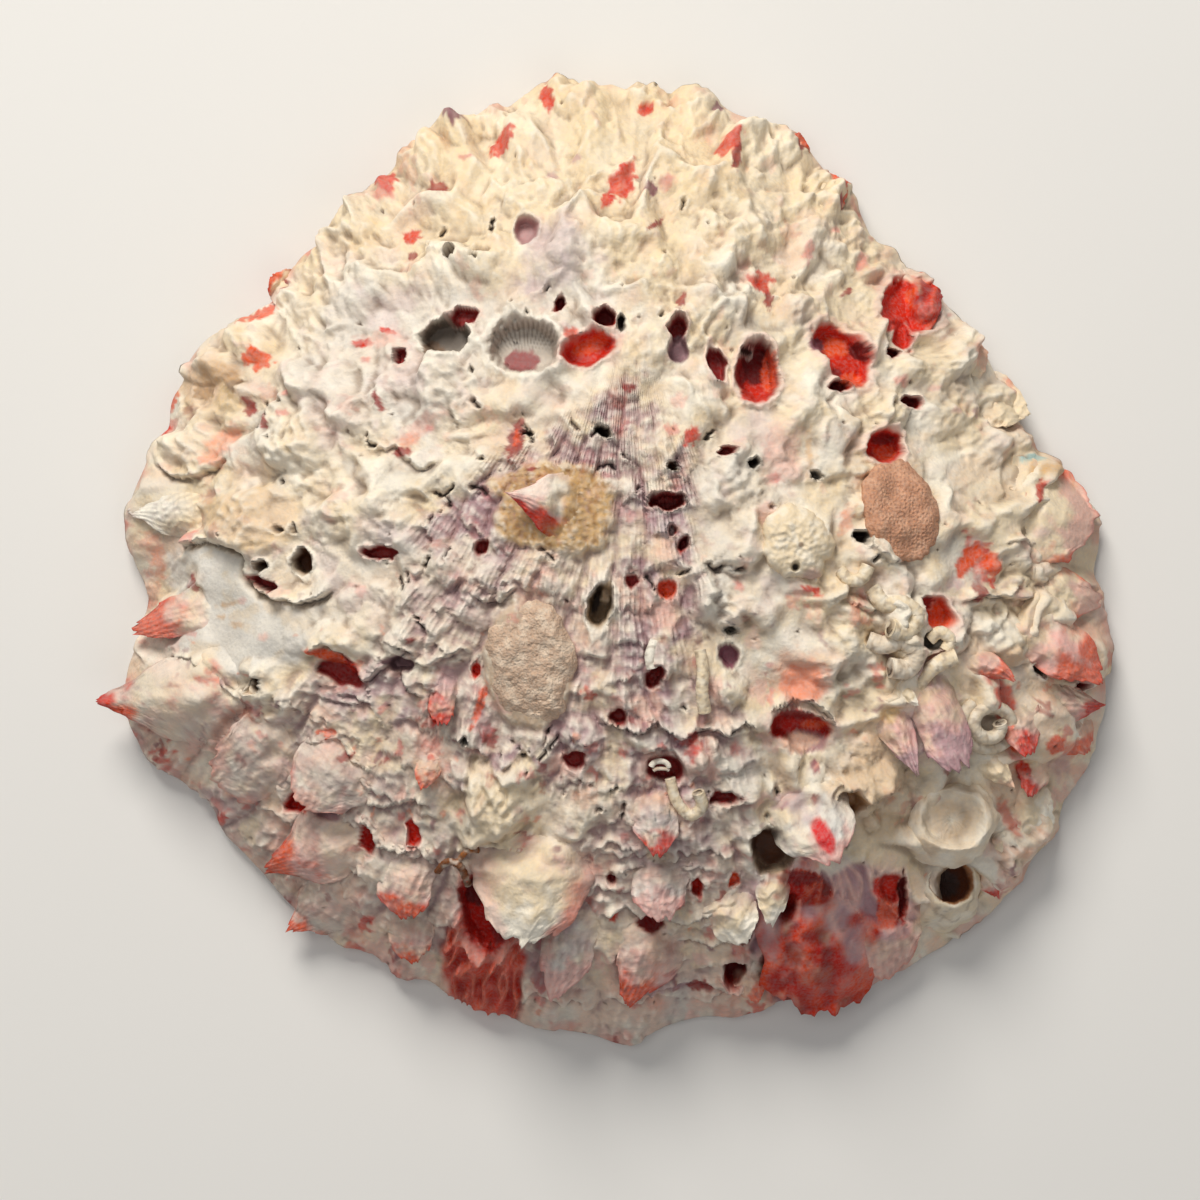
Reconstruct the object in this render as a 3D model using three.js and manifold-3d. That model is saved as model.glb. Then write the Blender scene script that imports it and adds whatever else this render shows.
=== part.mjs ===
// One valve of an old spiny oyster, lying on its margin with the hollow side down.
// Millimetres. +X to the right, +Y towards the hinge, +Z up through the dome.
// The origin is under the middle of the shell, on the plane of the margin.
import * as THREE from 'three';
import { mergeVertices } from 'three/addons/utils/BufferGeometryUtils.js';
import Module from 'manifold-3d';

// ---- driving dimensions -------------------------------------------------
const DOME_HEIGHT = 33;        // rise of the bare dome above its edge
const EDGE = 1.8;              // thickness of the valve's edge
const WALL = 6.2;              // wall thickness under the crown
const DOME_FULL = 2.3;         // how full the dome's shoulders are
const DOME_ROUND = 0.85;
const REST_OUT = 0.985;        // the resting band, as fractions of the edge radius
const REST_IN = 0.93;
const SECTORS = 76;            // facets round the valve
const OUT_ROWS = 15;           // facets from crown to edge, outside
const IN_ROWS = [0.93, 0.9, 0.83, 0.75, 0.68, 0.55, 0.38, 0.2, 0];   // inside, as fractions
const GAP = 0.35;              // clearance between the valve and what is cemented on it
const CENTRE = [1.65, 5.25];      // crown of the dome
const SHIFT = [0.113, -0.350];     // brings the box's middle over the origin
const HINGE = { angle: Math.PI / 2, half: 0.46, floor: 5.5 };   // hinge plate, inside

// Edge radius about the crown, every 11.25 degrees from +X towards +Y.
const EDGE_RADII = [71.8, 63.3, 60.6, 59.3, 57.4, 60.3, 63, 65, 64.7, 64.5, 64.1, 61.7, 60.5, 60.8, 66.3, 68.2, 72.3, 71.5, 78.2, 74.5, 74.5, 74.8, 74.4, 76.3, 77.3, 75.7, 78.2, 80.3, 80.5, 80.8, 79, 74.8];

// Mounds of lime crust: x, y, radius, height.
const MOUNDS = [
  [-3.8, 68.1, 4.5, 3],
  [6.9, 68.1, 3.6, 3],
  [13.4, 65.6, 4.2, 2.2],
  [0.6, 60, 6.3, 1.6],
  [-16.1, 64, 3, 2.6],
  [-20.8, 62.3, 3.3, 2.6],
  [-26.6, 57.8, 4.2, 3],
  [-31.3, 53.1, 3.6, 2.6],
  [-37.6, 46.9, 4.2, 2.6],
  [-46.2, 40.2, 3.9, 2],
  [-36.4, 38.9, 6.3, 2],
  [-23.3, 50.4, 4.2, 1.5],
  [-11, 53.7, 5.4, 2],
  [-17.5, 41.9, 4.2, 2.2],
  [-4.4, 42.7, 4.2, 2.2],
  [6.9, 41, 4.2, 1.6],
  [14.2, 52.1, 4.8, 2],
  [21, 58.9, 4.2, 2.4],
  [27.1, 59.9, 3.3, 3],
  [33.2, 53.4, 3.9, 3.2],
  [24.6, 47.7, 5.4, 2],
  [16.2, 43, 5.4, 2],
  [36.5, 44.5, 4.5, 2.2],
  [44.6, 37.2, 4.5, 2.6],
  [53, 29.7, 4.2, 2.6],
  [59.6, 23, 3.6, 3],
  [50.5, 22.9, 4.8, 2],
  [40.5, 21.1, 3.3, 1.6],
  [61.9, 16.5, 3.3, 2.4],
  [65.1, 12.7, 2.7, 2.2],
  [55.8, 15.8, 4.5, 2],
  [-39, 30.6, 5.4, 2.2],
  [-42.7, 17.1, 6.6, 3.2],
  [-51.4, 31.4, 3.9, 2],
  [-56.8, 27.6, 3.3, 2.4],
  [-28.5, 26.5, 4.5, 2],
  [-58.4, 15.1, 4.5, 2.2],
  [-51.1, 5.4, 5.4, 2.6],
  [-38.3, 4.6, 3.9, 2],
  [-28.9, 4.5, 4.8, 2.4],
  [-20.9, 22, 5.4, 2.6],
  [5.4, 28.2, 4.5, 2],
  [13.9, 32.6, 4.5, 2],
  [28.3, 33.1, 4.5, 2.2],
  [7.5, 15.5, 4.8, 1.6],
  [18, 10, 5.4, 2.2],
  [16.5, -6.8, 4.5, 3.2],
  [18, -19.3, 3, 2.4],
  [-16.9, -4, 3.9, 2.4],
  [-8.5, -2.6, 3.9, 2],
  [-38.4, -12.4, 3.9, 2],
  [-47.6, -21.1, 4.5, 2],
  [-25.4, -12.4, 5.1, 2.4],
  [-14.2, -33.5, 5.4, 3.6],
  [1.2, -19.3, 3.6, 1.6],
  [-2.2, -26.3, 3.9, 2.6],
  [13.9, -28.5, 3.3, 2.8],
  [6.9, -25.7, 3.3, 2],
  [-0.1, -34.9, 3.9, 2],
  [30.8, -20.8, 3.9, 2],
  [36.8, -32.3, 5.4, 3.2],
  [42.8, -9.6, 4.2, 3.4],
  [42.9, -13.8, 3, 2.6],
  [58.8, -12.5, 3.9, 2.8],
  [62.1, -1, 4.5, 2.4],
  [35, -9.6, 3.9, 2],
  [-5.8, 31.1, 3.6, 1.4],
  [2.7, 44.2, 3.9, 1.8],
  [1.2, 18.4, 4.5, 1],
  [-5.7, 4.4, 5.1, 2],
  [28.1, 21.5, 3.9, 1.4],
  [-31.1, 17.2, 3.9, 1.8],
  [62, -40.8, 4.5, 2.4],
  [56.1, -46.7, 3, 1.6],
  [47.7, -41.6, 3.9, 2],
];

// Hollows: x, y, half length, half width, turn in degrees, depth.
const HOLLOWS = [
  [-21.7, 30.6, 4, 3, 0, 3.6],
  [-10.7, 29.1, 5.7, 4.5, 0, 5],
  [-2.1, 28.6, 4.2, 2.5, 25, 2.4],
  [0.6, 33.2, 1.8, 1.8, 0, 3],
  [22.5, 25.5, 3.3, 4, 10, 5.5],
  [33.5, 29.8, 3.6, 3.3, -20, 2.2],
  [37.4, 24.8, 2.2, 1.9, 0, 2.2],
  [44.2, 35.9, 3.3, 4.2, 25, 2.6],
  [40.3, 15.2, 3, 2.7, 20, 3.2],
  [9.3, 7.2, 3, 1.9, 0, 3.2],
  [-0.1, -7.4, 2.1, 3.8, 15, 4.5],
  [-42.5, -1.5, 1.5, 2.1, 0, 3.5],
  [-50.6, -5.3, 7.2, 5.1, -20, 4.2],
  [24.2, -43.3, 4.2, 3.9, 0, 5],
  [-16.1, -50.8, 3.9, 4.8, 20, 4],
  [9, -30.5, 3, 2.1, 0, 3],
  [-54.5, -10.4, 4.5, 3.9, 0, 2.6],
  [29.4, -61.4, 5.1, 4.5, 0, 2.4],
  [19.7, -61, 1.8, 1.6, 0, 3],
  [13.9, 21.6, 1.8, 2.7, -20, 2],
];

// Scales and spines: name, root x, root y, tip x, tip y, widths at root, middle
// and tip, lift of root and tip over the valve, arch of the section, thickness.
const SCALES = [
  ['horn_left', -56.4, 4.6, -70.7, 6.5, 9, 6.6, 1.8, -1.2, 1, 1.6, 2.2],
  ['spine_red_left', -57, -8.5, -70.1, -11.1, 8.4, 6, 1.9, -1, 3, 1.8, 2.4],
  ['scale_big_left', -52.6, -19.6, -74.6, -22.4, 15.6, 12, 2.7, -1.5, 4.5, 3, 2.6],
  ['scale_left_a', -44.7, -28.2, -58.2, -31.5, 9.3, 8.4, 5.1, -1, 2.6, 1.8, 1.6],
  ['scale_left_b', -36, -28.6, -44, -35.6, 8.7, 8.4, 6, -1, 3.8, 1.8, 1.6],
  ['scale_left_c', -36.2, -39.9, -49.7, -48.2, 9.9, 6.9, 1.5, -1, 3.4, 2, 1.8],
  ['scale_left_d', -37.9, -50.8, -46.8, -55.6, 9.6, 6.6, 2.1, -1.2, 1.6, 1.8, 1.8],
  ['scale_low_a', -28.4, -44.8, -29, -53, 6, 6.3, 3.9, -1, 3.4, 1.6, 1.4],
  ['tongue_white', -9.4, -38.1, -11.3, -56.7, 14.4, 16.8, 6.6, -1.5, 7, 2.6, 2.6],
  ['tongue_low_a', -3.3, -50, -7, -65.3, 6.9, 6.6, 3, -1.2, 4, 1.8, 1.6],
  ['tongue_low_b', 8.7, -43.9, 8.4, -52.5, 6.6, 6.3, 3.6, -1, 4.2, 1.6, 1.5],
  ['tongue_low_c', 7.8, -53.8, 3.8, -66.1, 8.4, 7.5, 3, -1.2, 3.4, 1.8, 1.6],
  ['cup_right', 27.8, -33.6, 33.6, -43.9, 11.1, 12, 6, -1.2, 8, 2.6, 2.2],
  ['scale_red_big', 32.2, -50.5, 30.8, -67.4, 17.7, 16.8, 10.5, -1.5, 2.6, 2.4, 2.6],
  ['tongue_right_l', 25.2, -44.5, 24.4, -53.9, 5.1, 4.8, 2.7, -1, 2.4, 1.2, 1.4],
  ['plate_right_a', 59.5, 6, 73.7, 5.8, 16.8, 15, 9.9, -1.2, 1.6, 1.8, 1.8],
  ['plate_right_b', 62.5, -5.9, 74.7, -6.8, 8.7, 7.5, 4.5, -1, 1.4, 1.4, 1.6],
  ['scale_right_c', 61.2, -8.5, 72.5, -18.2, 8.7, 8.4, 5.1, -1, 5, 2, 1.7],
  ['scale_right_d', 64.4, -21.4, 74.9, -22.6, 7.8, 5.7, 1.5, -1, 3, 1.6, 1.7],
  ['scale_right_e', 68.2, -24.8, 72.7, -29.4, 7.5, 6.6, 3.6, -1, 0.8, 1.2, 1.6],
  ['tongue_purple_a', 46.8, -19.9, 52.5, -29.6, 8.1, 7.8, 5.1, -1, 6, 2, 1.6],
  ['tongue_purple_b', 40.1, -22.7, 45.7, -31.4, 6, 5.1, 1.8, -1, 5, 1.6, 1.4],
  ['tip_pink_low', 56, -45.6, 59.6, -51.1, 5.1, 4.2, 1.2, -1, 1.6, 1.4, 1.8],
  ['scale_right_low', 60.4, -36.3, 67.2, -39.9, 9, 8.4, 6, -1.2, 1.2, 1.6, 1.8],
  ['scale_right_low2', 56.8, -41.9, 61, -46.4, 6.6, 5.4, 2.4, -1, 1.4, 1.2, 1.6],
  ['shelf_low_right', 41.3, -55.6, 43.4, -62.3, 9.9, 9, 5.1, -1, 0.8, 1.2, 1.6],
  ['knob_top_a', 28.1, 58.6, 29.6, 62.8, 6.6, 5.1, 2.4, -1, 2, 1.6, 3],
  ['knob_top_b', 31.6, 52.4, 36.4, 55.4, 8.4, 6.9, 3.9, -1, 2.4, 1.8, 3.4],
  ['knob_top_c', 45, 37.6, 50.8, 37.9, 10.5, 9, 5.1, -1, 2, 1.8, 2.6],
  ['knob_top_d', 53, 28.7, 57.5, 30.2, 8.1, 6.9, 4.5, -1, 1.6, 1.6, 2.6],
  ['knob_top_e', 56.6, 23, 63.8, 21.2, 9, 6.9, 3.3, -1, 2.2, 1.8, 3.2],
  ['spine_mid', -3.2, 8.9, -9.8, 4.3, 10.5, 9.9, 9, -1.2, 5, 2, 3],
];

// ---- the valve's surface --------------------------------------------------
function edgeRadius(angle) {
  const n = EDGE_RADII.length;
  const f = (((angle / (2 * Math.PI)) * n) % n + n) % n;
  const i = Math.floor(f), t = f - i;
  const g = (k) => EDGE_RADII[(k + n) % n];
  const a = g(i - 1), b = g(i), c = g(i + 1), d = g(i + 2);
  return 0.5 * (2 * b + (c - a) * t + (2 * a - 5 * b + 4 * c - d) * t * t
    + (-a + 3 * b - 3 * c + d) * t * t * t);
}
function fraction(x, y) {
  const dx = x - CENTRE[0], dy = y - CENTRE[1];
  return Math.hypot(dx, dy) / edgeRadius(Math.atan2(dy, dx));
}
function dome(x, y) {
  const u = Math.min(1, fraction(x, y));
  return EDGE + DOME_HEIGHT * (1 - u ** DOME_FULL) ** DOME_ROUND;
}
function relief(x, y) {
  let z = 0;
  for (const [mx, my, r, h] of MOUNDS) {
    const d2 = ((x - mx) ** 2 + (y - my) ** 2) / (r * r);
    if (d2 < 9) z += 0.8 * h * Math.exp(-d2 * 1.2);
  }
  for (const [px, py, rx, ry, deg, depth] of HOLLOWS) {
    const a = THREE.MathUtils.degToRad(deg), c = Math.cos(a), s = Math.sin(a);
    const lx = (c * (x - px) + s * (y - py)) / rx, ly = (-s * (x - px) + c * (y - py)) / ry;
    const d2 = lx * lx + ly * ly;
    if (d2 < 4) z -= depth * Math.exp(-(d2 ** 1.6) * 0.8);
  }
  const fade = Math.min(1, Math.max(0, (1 - fraction(x, y)) / 0.1));
  return z * fade;
}
const outside = (x, y) => dome(x, y) + relief(x, y);

function inside(u, angle) {
  if (u >= REST_IN) return 0;
  let z = (DOME_HEIGHT + EDGE - WALL) * (1 - (u / REST_IN) ** 2.2) ** 0.8;
  let da = Math.abs(Math.atan2(Math.sin(angle - HINGE.angle), Math.cos(angle - HINGE.angle)));
  if (da < HINGE.half && u > 0.7) {
    const w = Math.min(1, (HINGE.half - da) / 0.12) * Math.min(1, (u - 0.7) / 0.05);
    z = z * (1 - w) + Math.min(z, HINGE.floor) * w;
  }
  return z;
}

function ringPoint(u, angle) {
  const r = u * edgeRadius(angle);
  return [CENTRE[0] + r * Math.cos(angle), CENTRE[1] + r * Math.sin(angle)];
}

// A globe's grid laid out as the shell: its upper rows become the outside,
// its lower rows the resting band and the inside.
function valveGeometry() {
  const rows = OUT_ROWS + 1 + IN_ROWS.length;
  const geo = new THREE.SphereGeometry(1, SECTORS, rows);
  const pos = geo.attributes.position;
  for (let k = 0; k < pos.count; k++) {
    const row = Math.floor(k / (SECTORS + 1));
    const col = (k % (SECTORS + 1)) % SECTORS;
    const angle = (col / SECTORS) * 2 * Math.PI + Math.PI;
    let u, z;
    if (row <= OUT_ROWS) {
      u = row / OUT_ROWS;
      const [x, y] = ringPoint(u, angle);
      z = row === OUT_ROWS ? EDGE : outside(x, y);
    } else if (row === OUT_ROWS + 1) {
      u = REST_OUT; z = 0;
    } else {
      u = IN_ROWS[row - OUT_ROWS - 2]; z = inside(u, angle);
    }
    const [x, y] = ringPoint(u, angle);
    pos.setXYZ(k, x, y, z);
  }
  return geo;
}

// A scale: a rod of six sides, flattened, arched and bent from root to tip.
function scaleGeometry(bx, by, tx, ty, wb, wm, wt, l0, l1, arch, thick) {
  const steps = 3, sides = 6;
  const geo = new THREE.CylinderGeometry(1, 1, 1, sides, steps);
  const pos = geo.attributes.position;
  const len = Math.hypot(tx - bx, ty - by), dx = (tx - bx) / len, dy = (ty - by) / len;
  for (let k = 0; k < pos.count; k++) {
    const s = pos.getY(k) + 0.5;
    const across = pos.getX(k), up = pos.getZ(k);
    const w = s < 0.5 ? wb + (wm - wb) * s * 2 : wm + (wt - wm) * (s * 2 - 1);
    const cx = bx + dx * len * s, cy = by + dy * len * s;
    const x = cx + dy * across * w / 2, y = cy - dx * across * w / 2;
    const base = Math.max(0, dome(cx, cy) + Math.max(-1, 0.6 * relief(cx, cy)));
    let z = base + l0 + (l1 - l0) * s + arch * (1 - across * across) * (1 - 0.4 * s)
      + up * thick / 2 - arch * 0.5;
    z = Math.max(z, 0.25 + (up + 1) * thick * 0.3);
    pos.setXYZ(k, x, y, z);
  }
  return geo;
}

// ---- solids ---------------------------------------------------------------
const wasm = await Module();
wasm.setup();
function solid(geometry) {
  let g = geometry.index ? geometry.clone() : geometry;
  g.deleteAttribute('normal');
  g.deleteAttribute('uv');
  g = mergeVertices(g, 1e-4);
  return new wasm.Manifold(new wasm.Mesh({
    numProp: 3,
    vertProperties: new Float32Array(g.attributes.position.array),
    triVerts: new Uint32Array(g.index.array),
  }));
}
function outward(geometry) {
  const m = solid(geometry);
  if (m.volume() > 0) return m;
  const g = geometry.clone();
  const a = g.index.array;
  for (let i = 0; i < a.length; i += 3) { const t = a[i]; a[i] = a[i + 1]; a[i + 1] = t; }
  return solid(g);
}
function biggest(m) {
  const parts = m.decompose();
  parts.sort((a, b) => b.volume() - a.volume());
  return parts[0];
}
function geometryOf(m) {
  const mesh = m.getMesh();
  const g = new THREE.BufferGeometry();
  g.setAttribute('position', new THREE.BufferAttribute(new Float32Array(mesh.vertProperties), 3));
  g.setIndex(new THREE.BufferAttribute(new Uint32Array(mesh.triVerts), 1));
  g.computeVertexNormals();
  return g;
}

let valve = outward(valveGeometry());
for (const [, ...v] of SCALES) valve = valve.add(outward(scaleGeometry(...v)));

// Two hinge teeth and the ridges beside the ligament pit, hanging from the hinge plate.
for (const side of [-1, 1]) {
  const r = 0.82 * edgeRadius(HINGE.angle);
  const tooth = new THREE.CylinderGeometry(4.2, 2.4, 5.2, 10);
  tooth.rotateX(Math.PI / 2);
  tooth.translate(CENTRE[0] + side * 11, CENTRE[1] + r, 3.5);
  valve = valve.add(outward(tooth));
}
valve = biggest(valve);

// What is cemented on is trimmed to the valve, and keeps a fine gap to it.
const AROUND = [[0, 0, GAP], [0, 0, 0]];
const cutters = AROUND.map((t) => valve.translate(t));
function seated(geometry, ...neighbours) {
  let m = outward(geometry);
  for (const c of cutters) m = m.subtract(c);
  for (const n of neighbours) for (const t of AROUND) m = m.subtract(n.translate(t));
  return biggest(m);
}
const top = (x, y, lift) => new THREE.Vector3(x, y, outside(x, y) + lift);

// Tips a standing solid towards (dx, dy) by an angle.
function tipped(g, dx, dy, angle) {
  const axis = new THREE.Vector3(-dy, dx, 0).normalize();
  return g.applyMatrix4(new THREE.Matrix4().makeRotationAxis(axis, angle));
}
// Barnacle with a large round mouth, leaning up and to the right.
function barnacleRound() {
  const profile = [[0, -3], [5.6, -3], [5.8, -1], [5.1, 2], [4.2, 4.6], [3.7, 5.4], [3.15, 5.0], [2.8, 1.0], [2.0, -0.6], [0, -1]]
    .map(([r, z]) => new THREE.Vector2(r, z));
  const g = new THREE.LatheGeometry(profile, 18);
  g.rotateX(Math.PI / 2);
  tipped(g, 3.3, 3.6, 0.62);
  const p = top(50.0, -51.6, 1.2);
  g.translate(p.x, p.y, p.z);
  return g;
}
// A low cup with a thick lip: jewel-box shell.
function jewelBox() {
  const [x, y] = [51.2, -38.8];
  const profile = [[0, -3], [6.4, -3], [7.2, 0], [6.9, 2.4], [6.3, 3.2], [5.6, 2.7], [4.2, 1.5], [2.0, 1.0], [0, 0.9]]
    .map(([r, z]) => new THREE.Vector2(r, z));
  const g = new THREE.LatheGeometry(profile, 18);
  g.rotateX(Math.PI / 2);
  g.scale(1.0, 0.74, 1);
  g.rotateX(0.26);
  g.rotateY(0.18);
  const p = top(x, y, 1.6);
  g.translate(p.x, p.y, p.z);
  return g;
}
function domed(x, y, rx, ry, turn, h, below) {
  const g = new THREE.SphereGeometry(1, 14, 8);
  g.rotateX(Math.PI / 2);
  g.scale(rx, ry, 1);
  const pos = g.attributes.position;
  for (let k = 0; k < pos.count; k++) {
    const z = pos.getZ(k);
    pos.setZ(k, z > 0 ? z * h : z * below);
  }
  g.rotateZ(turn);
  const p = top(x, y, 0);
  g.translate(p.x, p.y, p.z);
  return g;
}
// A crust: a thin sheet that follows the valve.
function crust(x, y, rx, ry, turn, h) {
  const g = new THREE.CylinderGeometry(1, 1, 1, 16, 1);
  g.rotateX(Math.PI / 2);
  const pos = g.attributes.position;
  const c = Math.cos(turn), s = Math.sin(turn);
  for (let k = 0; k < pos.count; k++) {
    const ax = pos.getX(k) * rx, ay = pos.getY(k) * ry, up = pos.getZ(k) > 0;
    const X = x + c * ax - s * ay, Y = y + s * ax + c * ay;
    const centre = Math.hypot(pos.getX(k), pos.getY(k)) < 0.5;
    pos.setXYZ(k, X, Y, outside(X, Y) + (up ? (centre ? h * 1.25 : h * 0.75) : -1.6));
  }
  return g;
}
function tube(points, radius, sides, steps, closed) {
  const curve = new THREE.CatmullRomCurve3(points, !!closed);
  const shape = new THREE.Shape();
  for (let i = 0; i < sides; i++) {
    const a = (i / sides) * 2 * Math.PI;
    const p = [radius * Math.cos(a), radius * Math.sin(a)];
    if (i) shape.lineTo(...p); else shape.moveTo(...p);
  }
  return new THREE.ExtrudeGeometry(shape, { steps, extrudePath: curve, bevelEnabled: false });
}
function coil() {
  const [x, y] = [55.9, -25.3];
  const base = outside(x, y);
  const g = new THREE.TorusGeometry(3.1, 1.55, 8, 18);
  g.translate(x, y, base + 1.7);
  return g;
}
function knot() {
  const pts = [[37.4, -6.5], [40.9, -7.2], [44.0, -9.7], [44.5, -13.2], [46.9, -15.3], [50.5, -15.1]];
  const lift = [0.6, 1.6, 1.6, 1.6, 1.0, 0.6];
  return tube(pts.map(([x, y], i) => top(x, y, lift[i])), 1.7, 8, 12);
}
function straight() {
  const pts = [[13.4, -13.5], [14.1, -16.3], [14.5, -19.7], [14.8, -22.8]];
  return tube(pts.map(([x, y], i) => top(x, y, 1.1)), 0.95, 8, 5);
}
function brown() {
  const pts = [[-23.2, -44.5], [-21.7, -43.7], [-20.3, -45.3], [-19.5, -47.7]];
  return tube(pts.map(([x, y], i) => top(x, y, 1.3)), 0.9, 8, 6);
}
function ringShell() {
  const [x, y] = [9.0, -30.2];
  const g = new THREE.TorusGeometry(1.5, 0.5, 6, 14);
  g.scale(1, 0.72, 1);
  const p = top(x, y, 1.5);
  g.translate(p.x, p.y, p.z);
  return g;
}

// ---- the assembly -----------------------------------------------------------
const group = new THREE.Group();
group.position.set(-SHIFT[0], -SHIFT[1], 0);
function piece(name, m, color, roughness) {
  const mesh = new THREE.Mesh(geometryOf(m),
    new THREE.MeshStandardMaterial({ color, roughness, metalness: 0 }));
  mesh.name = name;
  group.add(mesh);
}
piece('valve', valve, 0xd8c9b4, 0.75);
const jewel = seated(jewelBox());
piece('barnacle_round', seated(barnacleRound(), jewel), 0xcfc6b2, 0.8);
piece('jewel_box_shell', jewel, 0xd9cbb0, 0.6);
piece('worm_tube_coil', seated(coil()), 0xcabf9f, 0.85);
piece('worm_tube_knot', seated(knot()), 0xc9bd9c, 0.85);
piece('worm_tube_straight', seated(straight()), 0xd6ccb4, 0.85);
piece('worm_tube_brown', seated(brown()), 0x7a4a22, 0.6);
piece('barnacle_dome', seated(domed(28.8, 1.4, 6.2, 5.8, 0.3, 3.6, 2)), 0xddd2b6, 0.7);
piece('moss_animal_crust', seated(crust(42.4, 6.6, 4.9, 7.2, 0.25, 0.9)), 0xc49a76, 0.9);
piece('grainy_oval_crust', seated(crust(-10.1, -16.0, 6.4, 9.2, -0.1, 1.1)), 0xb8a286, 0.9);
piece('ring_shell', seated(ringShell()), 0xe8e2d4, 0.5);

export default group;
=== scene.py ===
# One valve of an old, overgrown spiny oyster, lying on its margin and seen from above.
# Lengths are worked out in millimetres and handed to Blender in metres.
import math

import bpy
import numpy as np
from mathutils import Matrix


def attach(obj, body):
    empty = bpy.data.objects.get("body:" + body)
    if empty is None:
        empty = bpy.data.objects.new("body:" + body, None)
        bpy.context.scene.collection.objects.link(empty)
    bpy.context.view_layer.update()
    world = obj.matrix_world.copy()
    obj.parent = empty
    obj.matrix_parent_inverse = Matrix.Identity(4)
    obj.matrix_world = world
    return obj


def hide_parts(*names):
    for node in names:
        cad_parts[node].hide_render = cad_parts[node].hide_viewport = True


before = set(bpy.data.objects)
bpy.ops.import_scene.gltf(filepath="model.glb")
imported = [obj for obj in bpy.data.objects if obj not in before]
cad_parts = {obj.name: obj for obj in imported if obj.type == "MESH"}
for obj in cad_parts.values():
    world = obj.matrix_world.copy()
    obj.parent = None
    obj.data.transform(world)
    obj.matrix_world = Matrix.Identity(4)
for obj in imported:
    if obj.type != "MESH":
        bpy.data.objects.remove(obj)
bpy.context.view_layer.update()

MM = 0.001
TAU = 2 * math.pi

# ---------------------------------------------------------------- the chart
# Features are placed on a chart of the shell: 0.15 mm a unit on the table
# plane, as seen from 500 mm above the table.
UNIT, EYE = 0.15, 500.0
OX, OY = 0.263, 6.400          # where the chart's middle lies from the part's origin
DOME_HEIGHT, EDGE, WALL = 33.0, 1.8, 6.2
CX, CY = 1.537, 5.600
REST_OUT, REST_IN = 0.985, 0.93

EDGE_RADII = np.array([71.8, 63.3, 60.6, 59.3, 57.4, 60.3, 63, 65, 64.7, 64.5, 64.1, 61.7, 60.5, 60.8, 66.3, 68.2, 72.3, 71.5, 78.2, 74.5, 74.5, 74.8, 74.4, 76.3, 77.3, 75.7, 78.2, 80.3, 80.5, 80.8, 79, 74.8])


def ring(table, angle):
    n = len(table)
    f = (np.asarray(angle, float) / TAU * n) % n
    i = np.floor(f).astype(int)
    t = f - i
    a, b, c, d = (table[(i + k) % n] for k in (-1, 0, 1, 2))
    return 0.5 * (2 * b + (c - a) * t + (2 * a - 5 * b + 4 * c - d) * t * t + (-a + 3 * b - 3 * c + d) * t ** 3)


def smooth(lo, hi, v):
    t = np.clip((np.asarray(v, float) - lo) / (hi - lo), 0, 1)
    return t * t * (3 - 2 * t)


def dome_u(u):
    return EDGE + DOME_HEIGHT * (1 - np.clip(u, 0, 1) ** 2.3) ** 0.85


def dome(x, y):
    dx, dy = np.asarray(x) - CX, np.asarray(y) - CY
    return dome_u(np.hypot(dx, dy) / ring(EDGE_RADII, np.arctan2(dy, dx)))


def to_chart(x, y, z):
    s = 1 - np.asarray(z) / EYE
    return 600 + (np.asarray(x) + OX) / (UNIT * s), 600 - (np.asarray(y) + OY) / (UNIT * s)


def from_chart(p, q, lift=0.0):
    p, q = np.asarray(p, float), np.asarray(q, float)
    x, y = (p - 600) * UNIT - OX, (600 - q) * UNIT - OY
    for _ in range(10):
        s = 1 - (dome(x, y) + lift) / EYE
        x, y = (p - 600) * UNIT * s - OX, (600 - q) * UNIT * s - OY
    return x, y


# ---------------------------------------------------------------- noise
def _hash(ix, iy, seed):
    h = (ix.astype(np.int64) * 374761393 + iy.astype(np.int64) * 668265263 + seed * 1442695041) & 0xFFFFFFFF
    h = ((h ^ (h >> 13)) * 1274126177) & 0xFFFFFFFF
    h = ((h ^ (h >> 15)) * 2246822519) & 0xFFFFFFFF
    return ((h ^ (h >> 16)) & 0xFFFFFF) / 16777216.0


def noise(x, y, scale, seed=0):
    """Smooth noise, about -1 to 1, with lumps about `scale` wide."""
    x, y = np.asarray(x, float), np.asarray(y, float)
    turn = 0.37 + 1.7 * (seed % 7)
    c, s = math.cos(turn) / scale, math.sin(turn) / scale
    fx, fy = x * c - y * s, x * s + y * c
    ix, iy = np.floor(fx), np.floor(fy)
    tx, ty = fx - ix, fy - iy
    total = 0.0
    for ox in (0, 1):
        for oy in (0, 1):
            a = _hash(ix + ox, iy + oy, seed) * TAU
            dx, dy = tx - ox, ty - oy
            wx, wy = 1 - abs(dx), 1 - abs(dy)
            wx = wx ** 3 * (wx * (wx * 6 - 15) + 10)
            wy = wy ** 3 * (wy * (wy * 6 - 15) + 10)
            total = total + (np.cos(a) * dx + np.sin(a) * dy) * wx * wy
    return np.clip(total * 1.75, -1, 1)


def fbm(x, y, scale, seed=0, octaves=4, gain=0.5):
    total, amp, norm = 0.0, 1.0, 0.0
    for k in range(octaves):
        c, s = math.cos(0.6 * k), math.sin(0.6 * k)
        total = total + amp * noise(x * c - y * s, x * s + y * c, scale / 2 ** k, seed + 17 * k)
        norm += amp
        amp *= gain
    return total / norm


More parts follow.
